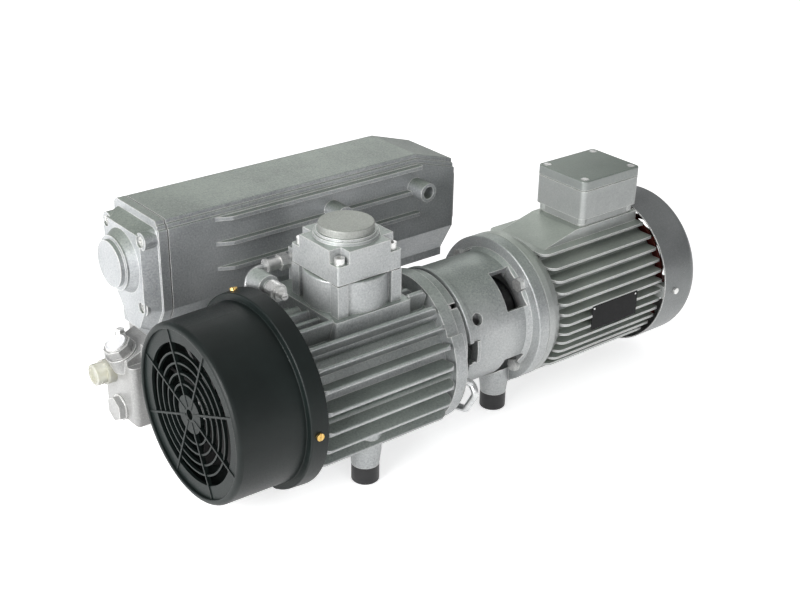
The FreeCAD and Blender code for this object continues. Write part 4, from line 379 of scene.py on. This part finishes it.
for name, part in nodes.items():
    if not part.data.materials:
        part.data.materials.append(None)
    for slot in part.material_slots:
        slot.material = looks[name]


smooth_limit = math.radians(28)


def mesh_object(name, form, material):
    """New mesh object from a bmesh, linked to the scene."""
    data = bpy.data.meshes.new(name)
    form.to_mesh(data)
    form.free()
    data.materials.append(material)
    made = bpy.data.objects.new(name, data)
    bpy.context.scene.collection.objects.link(made)
    return made


def lathe(name, profile, base, axis, material, segments=48):
    """Turned piece from (radius, height) steps in mm, standing at a point on an axis."""
    form = bmesh.new()
    rings = []
    for radius, height in profile:
        if radius == 0:
            rings.append([form.verts.new((0.0, 0.0, height / 1000))])
            continue
        angles = [2 * math.pi * k / segments for k in range(segments)]
        rings.append([
            form.verts.new((radius * math.cos(a) / 1000, radius * math.sin(a) / 1000, height / 1000))
            for a in angles])
    for low, high in zip(rings, rings[1:]):
        for k in range(segments):
            after = (k + 1) % segments
            if len(low) == 1:
                form.faces.new((low[0], high[after], high[k]))
            elif len(high) == 1:
                form.faces.new((low[k], low[after], high[0]))
            else:
                form.faces.new((low[k], low[after], high[after], high[k]))
    bmesh.ops.recalc_face_normals(form, faces=form.faces)
    for face in form.faces:
        face.smooth = True
    for edge in form.edges:
        edge.smooth = edge.calc_face_angle(0.0) < smooth_limit
    turn = Vector((0, 0, 1)).rotation_difference(Vector(axis)).to_matrix().to_4x4()
    form.transform(Matrix.Translation(base) @ turn)
    return mesh_object(name, form, material)


def settle(piece, body="machine"):
    """The piece rides on a body."""
    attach(piece, body)


# White disc in the oil cap, with a raised rim
slope_rise = 19.0
slope_run = 42.0
slope_foot_z = -14.0
cap_x = -440.0
cap_y = 203.0
cap_run = 6.0
cap_height = 0.017
slope = math.atan2(slope_rise, slope_run)
slope_up = Vector((-math.sin(slope), 0, math.cos(slope)))
cap_top = at(cap_x, cap_y, slope_foot_z + cap_run * math.tan(slope)) + slope_up * cap_height
disc_profile = [(0, 0.0), (13.6, 0.0), (13.6, 0.9), (13.0, 1.3), (12.4, 1.1), (12.0, 0.6), (0, 0.7)]
disc = lathe("oil_cap_disc", disc_profile, cap_top, slope_up, cap_white, 64)
settle(disc)

# Hex bolt on its cast boss beside the oil cap
bolt_x = -428.0
bolt_y = 226.0
boss_low = -14.0
boss_high = 2.5
boss_height = boss_high - boss_low
washer_height = 1.2
upright = (0, 0, 1)
boss = lathe("sump_bolt_boss",
             [(0, 0.0), (7.4, 0.0), (6.9, boss_height - 1.0), (6.2, boss_height), (0, boss_height)],
             at(bolt_x, bolt_y, boss_low), upright, bright_cast)
settle(boss)
washer = lathe("sump_bolt_washer",
               [(3.0, 0.0), (6.6, 0.0), (6.6, 1.0), (6.3, washer_height), (3.0, washer_height)],
               at(bolt_x, bolt_y, boss_high), upright, zinc)
settle(washer)
hex_bolt = lathe("sump_bolt_head", [(0, 0.0), (5.8, 0.0), (5.8, 4.2), (4.9, 5.3), (0, 5.5)],
                 at(bolt_x, bolt_y, boss_high + washer_height), upright, zinc, 6)
settle(hex_bolt)

# Rivets in the corners of the bare rating plate
rivet_inset = 0.004
rivet_profile = [(0, -0.4), (1.7, -0.4), (1.7, 0.0), (1.3, 0.7), (0.6, 1.0), (0, 1.05)]
plate_low, plate_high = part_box("rating_plate")
plate_reach = math.hypot(plate_low.y - start_y, (plate_low.z + plate_high.z) / 2 - start_z)
rivet_places = [(x, z) for x in (plate_low.x + rivet_inset, plate_high.x - rivet_inset)
                for z in (plate_low.z + rivet_inset, plate_high.z - rivet_inset)]
for k, (x, z) in enumerate(rivet_places):
    y = start_y - math.sqrt(plate_reach ** 2 - (z - start_z) ** 2)
    outward = Vector((0, y - start_y, z - start_z)).normalized()
    rivet = lathe("plate_rivet_" + str(k + 1), rivet_profile, Vector((x, y, z)), outward, zinc, 24)
    settle(rivet)

# Floor, lifted towards white for what the camera, metal and glass see of it
floor_half = 14.0
floor_lift = 0.62
floor_paint = Paint("floor_paper").set(color=(0.92, 0.92, 0.92), roughness=0.9, specular=0.1)
form = bmesh.new()
form.faces.new([
    form.verts.new((x * floor_half, y * floor_half, 0.0)) for x, y in ((-1, -1), (1, -1), (1, 1), (-1, 1))])
floor_paint.finish(normal=floor_paint.bump(floor_paint.noise(40.0), 0.0001))
rays = floor_paint.node("ShaderNodeLightPath")
seen = rays.outputs["Is Camera Ray"]
for kind in ("Is Glossy Ray", "Is Transmission Ray"):
    any_ray = floor_paint.node("ShaderNodeMath", operation="MAXIMUM")
    floor_paint.link(seen, any_ray.inputs[0])
    floor_paint.link(rays.outputs[kind], any_ray.inputs[1])
    seen = any_ray.outputs[0]
floor_paint.shader.inputs["Emission Color"].default_value = (1.0, 1.0, 1.0, 1.0)
floor_paint.link(floor_paint.spread(seen, 0.0, 1.0, 0.0, floor_lift),
                 floor_paint.shader.inputs["Emission Strength"])
floor = mesh_object("floor", form, floor_paint.material)

# World: grey light that darkens upward, and plain white for the camera
world_stops = ((0.0, (0.60, 0.60, 0.60, 1)), (1.0, (0.26, 0.29, 0.25, 1)), (0.5, (0.46, 0.46, 0.48, 1)))
world_strength = 0.55
world = bpy.data.worlds.new("studio")
bpy.context.scene.world = world
world.use_nodes = True
tree = world.node_tree
background = tree.nodes["Background"]
coords = tree.nodes.new("ShaderNodeTexCoord")
parts = tree.nodes.new("ShaderNodeSeparateXYZ")
tree.links.new(coords.outputs["Generated"], parts.inputs[0])
ramp = tree.nodes.new("ShaderNodeValToRGB")
elements = ramp.color_ramp.elements
for element, (where, color) in zip([elements[0], elements[1], elements.new(0.5)], world_stops):
    element.position = where
    element.color = color
height = tree.nodes.new("ShaderNodeMapRange")
height.inputs[1].default_value = -1.0
height.inputs[2].default_value = 1.0
tree.links.new(parts.outputs["Z"], height.inputs[0])
tree.links.new(height.outputs[0], ramp.inputs["Fac"])
tree.links.new(ramp.outputs["Color"], background.inputs["Color"])
background.inputs["Strength"].default_value = world_strength
white = tree.nodes.new("ShaderNodeBackground")
white.inputs["Color"].default_value = (1.0, 1.0, 1.0, 1.0)
white.inputs["Strength"].default_value = 1.0
ray = tree.nodes.new("ShaderNodeLightPath")
either = tree.nodes.new("ShaderNodeMixShader")
tree.links.new(ray.outputs["Is Camera Ray"], either.inputs["Fac"])
tree.links.new(background.outputs["Background"], either.inputs[1])
tree.links.new(white.outputs["Background"], either.inputs[2])
tree.links.new(either.outputs["Shader"], tree.nodes["World Output"].inputs["Surface"])


# Lights
def softbox(name, place, target, width, depth, power, color=(1.0, 1.0, 1.0)):
    """Large area light that faces a target."""
    data = bpy.data.lights.new(name, "AREA")
    data.shape = "RECTANGLE"
    data.size = width
    data.size_y = depth
    data.energy = power
    data.color = color
    lamp = bpy.data.objects.new(name, data)
    bpy.context.scene.collection.objects.link(lamp)
    lamp.location = place
    lamp.rotation_euler = (Vector(target) - Vector(place)).to_track_quat("-Z", "Y").to_euler()


softbox("top_light", (-0.2, 0.2, 2.4), (0.0, 0.0, 0.1), 2.2, 1.2, 4.0, (0.97, 1.0, 0.96))
softbox("left_light", (-2.5, -0.4, 0.8), (0.0, 0.0, 0.15), 1.8, 1.3, 80.0)
softbox("front_light", (-0.4, -2.7, 0.9), (0.1, 0.0, 0.15), 1.6, 0.9, 9.0)
softbox("rear_light", (1.6, 2.2, 1.6), (0.0, 0.0, 0.15), 1.6, 1.0, 8.0)
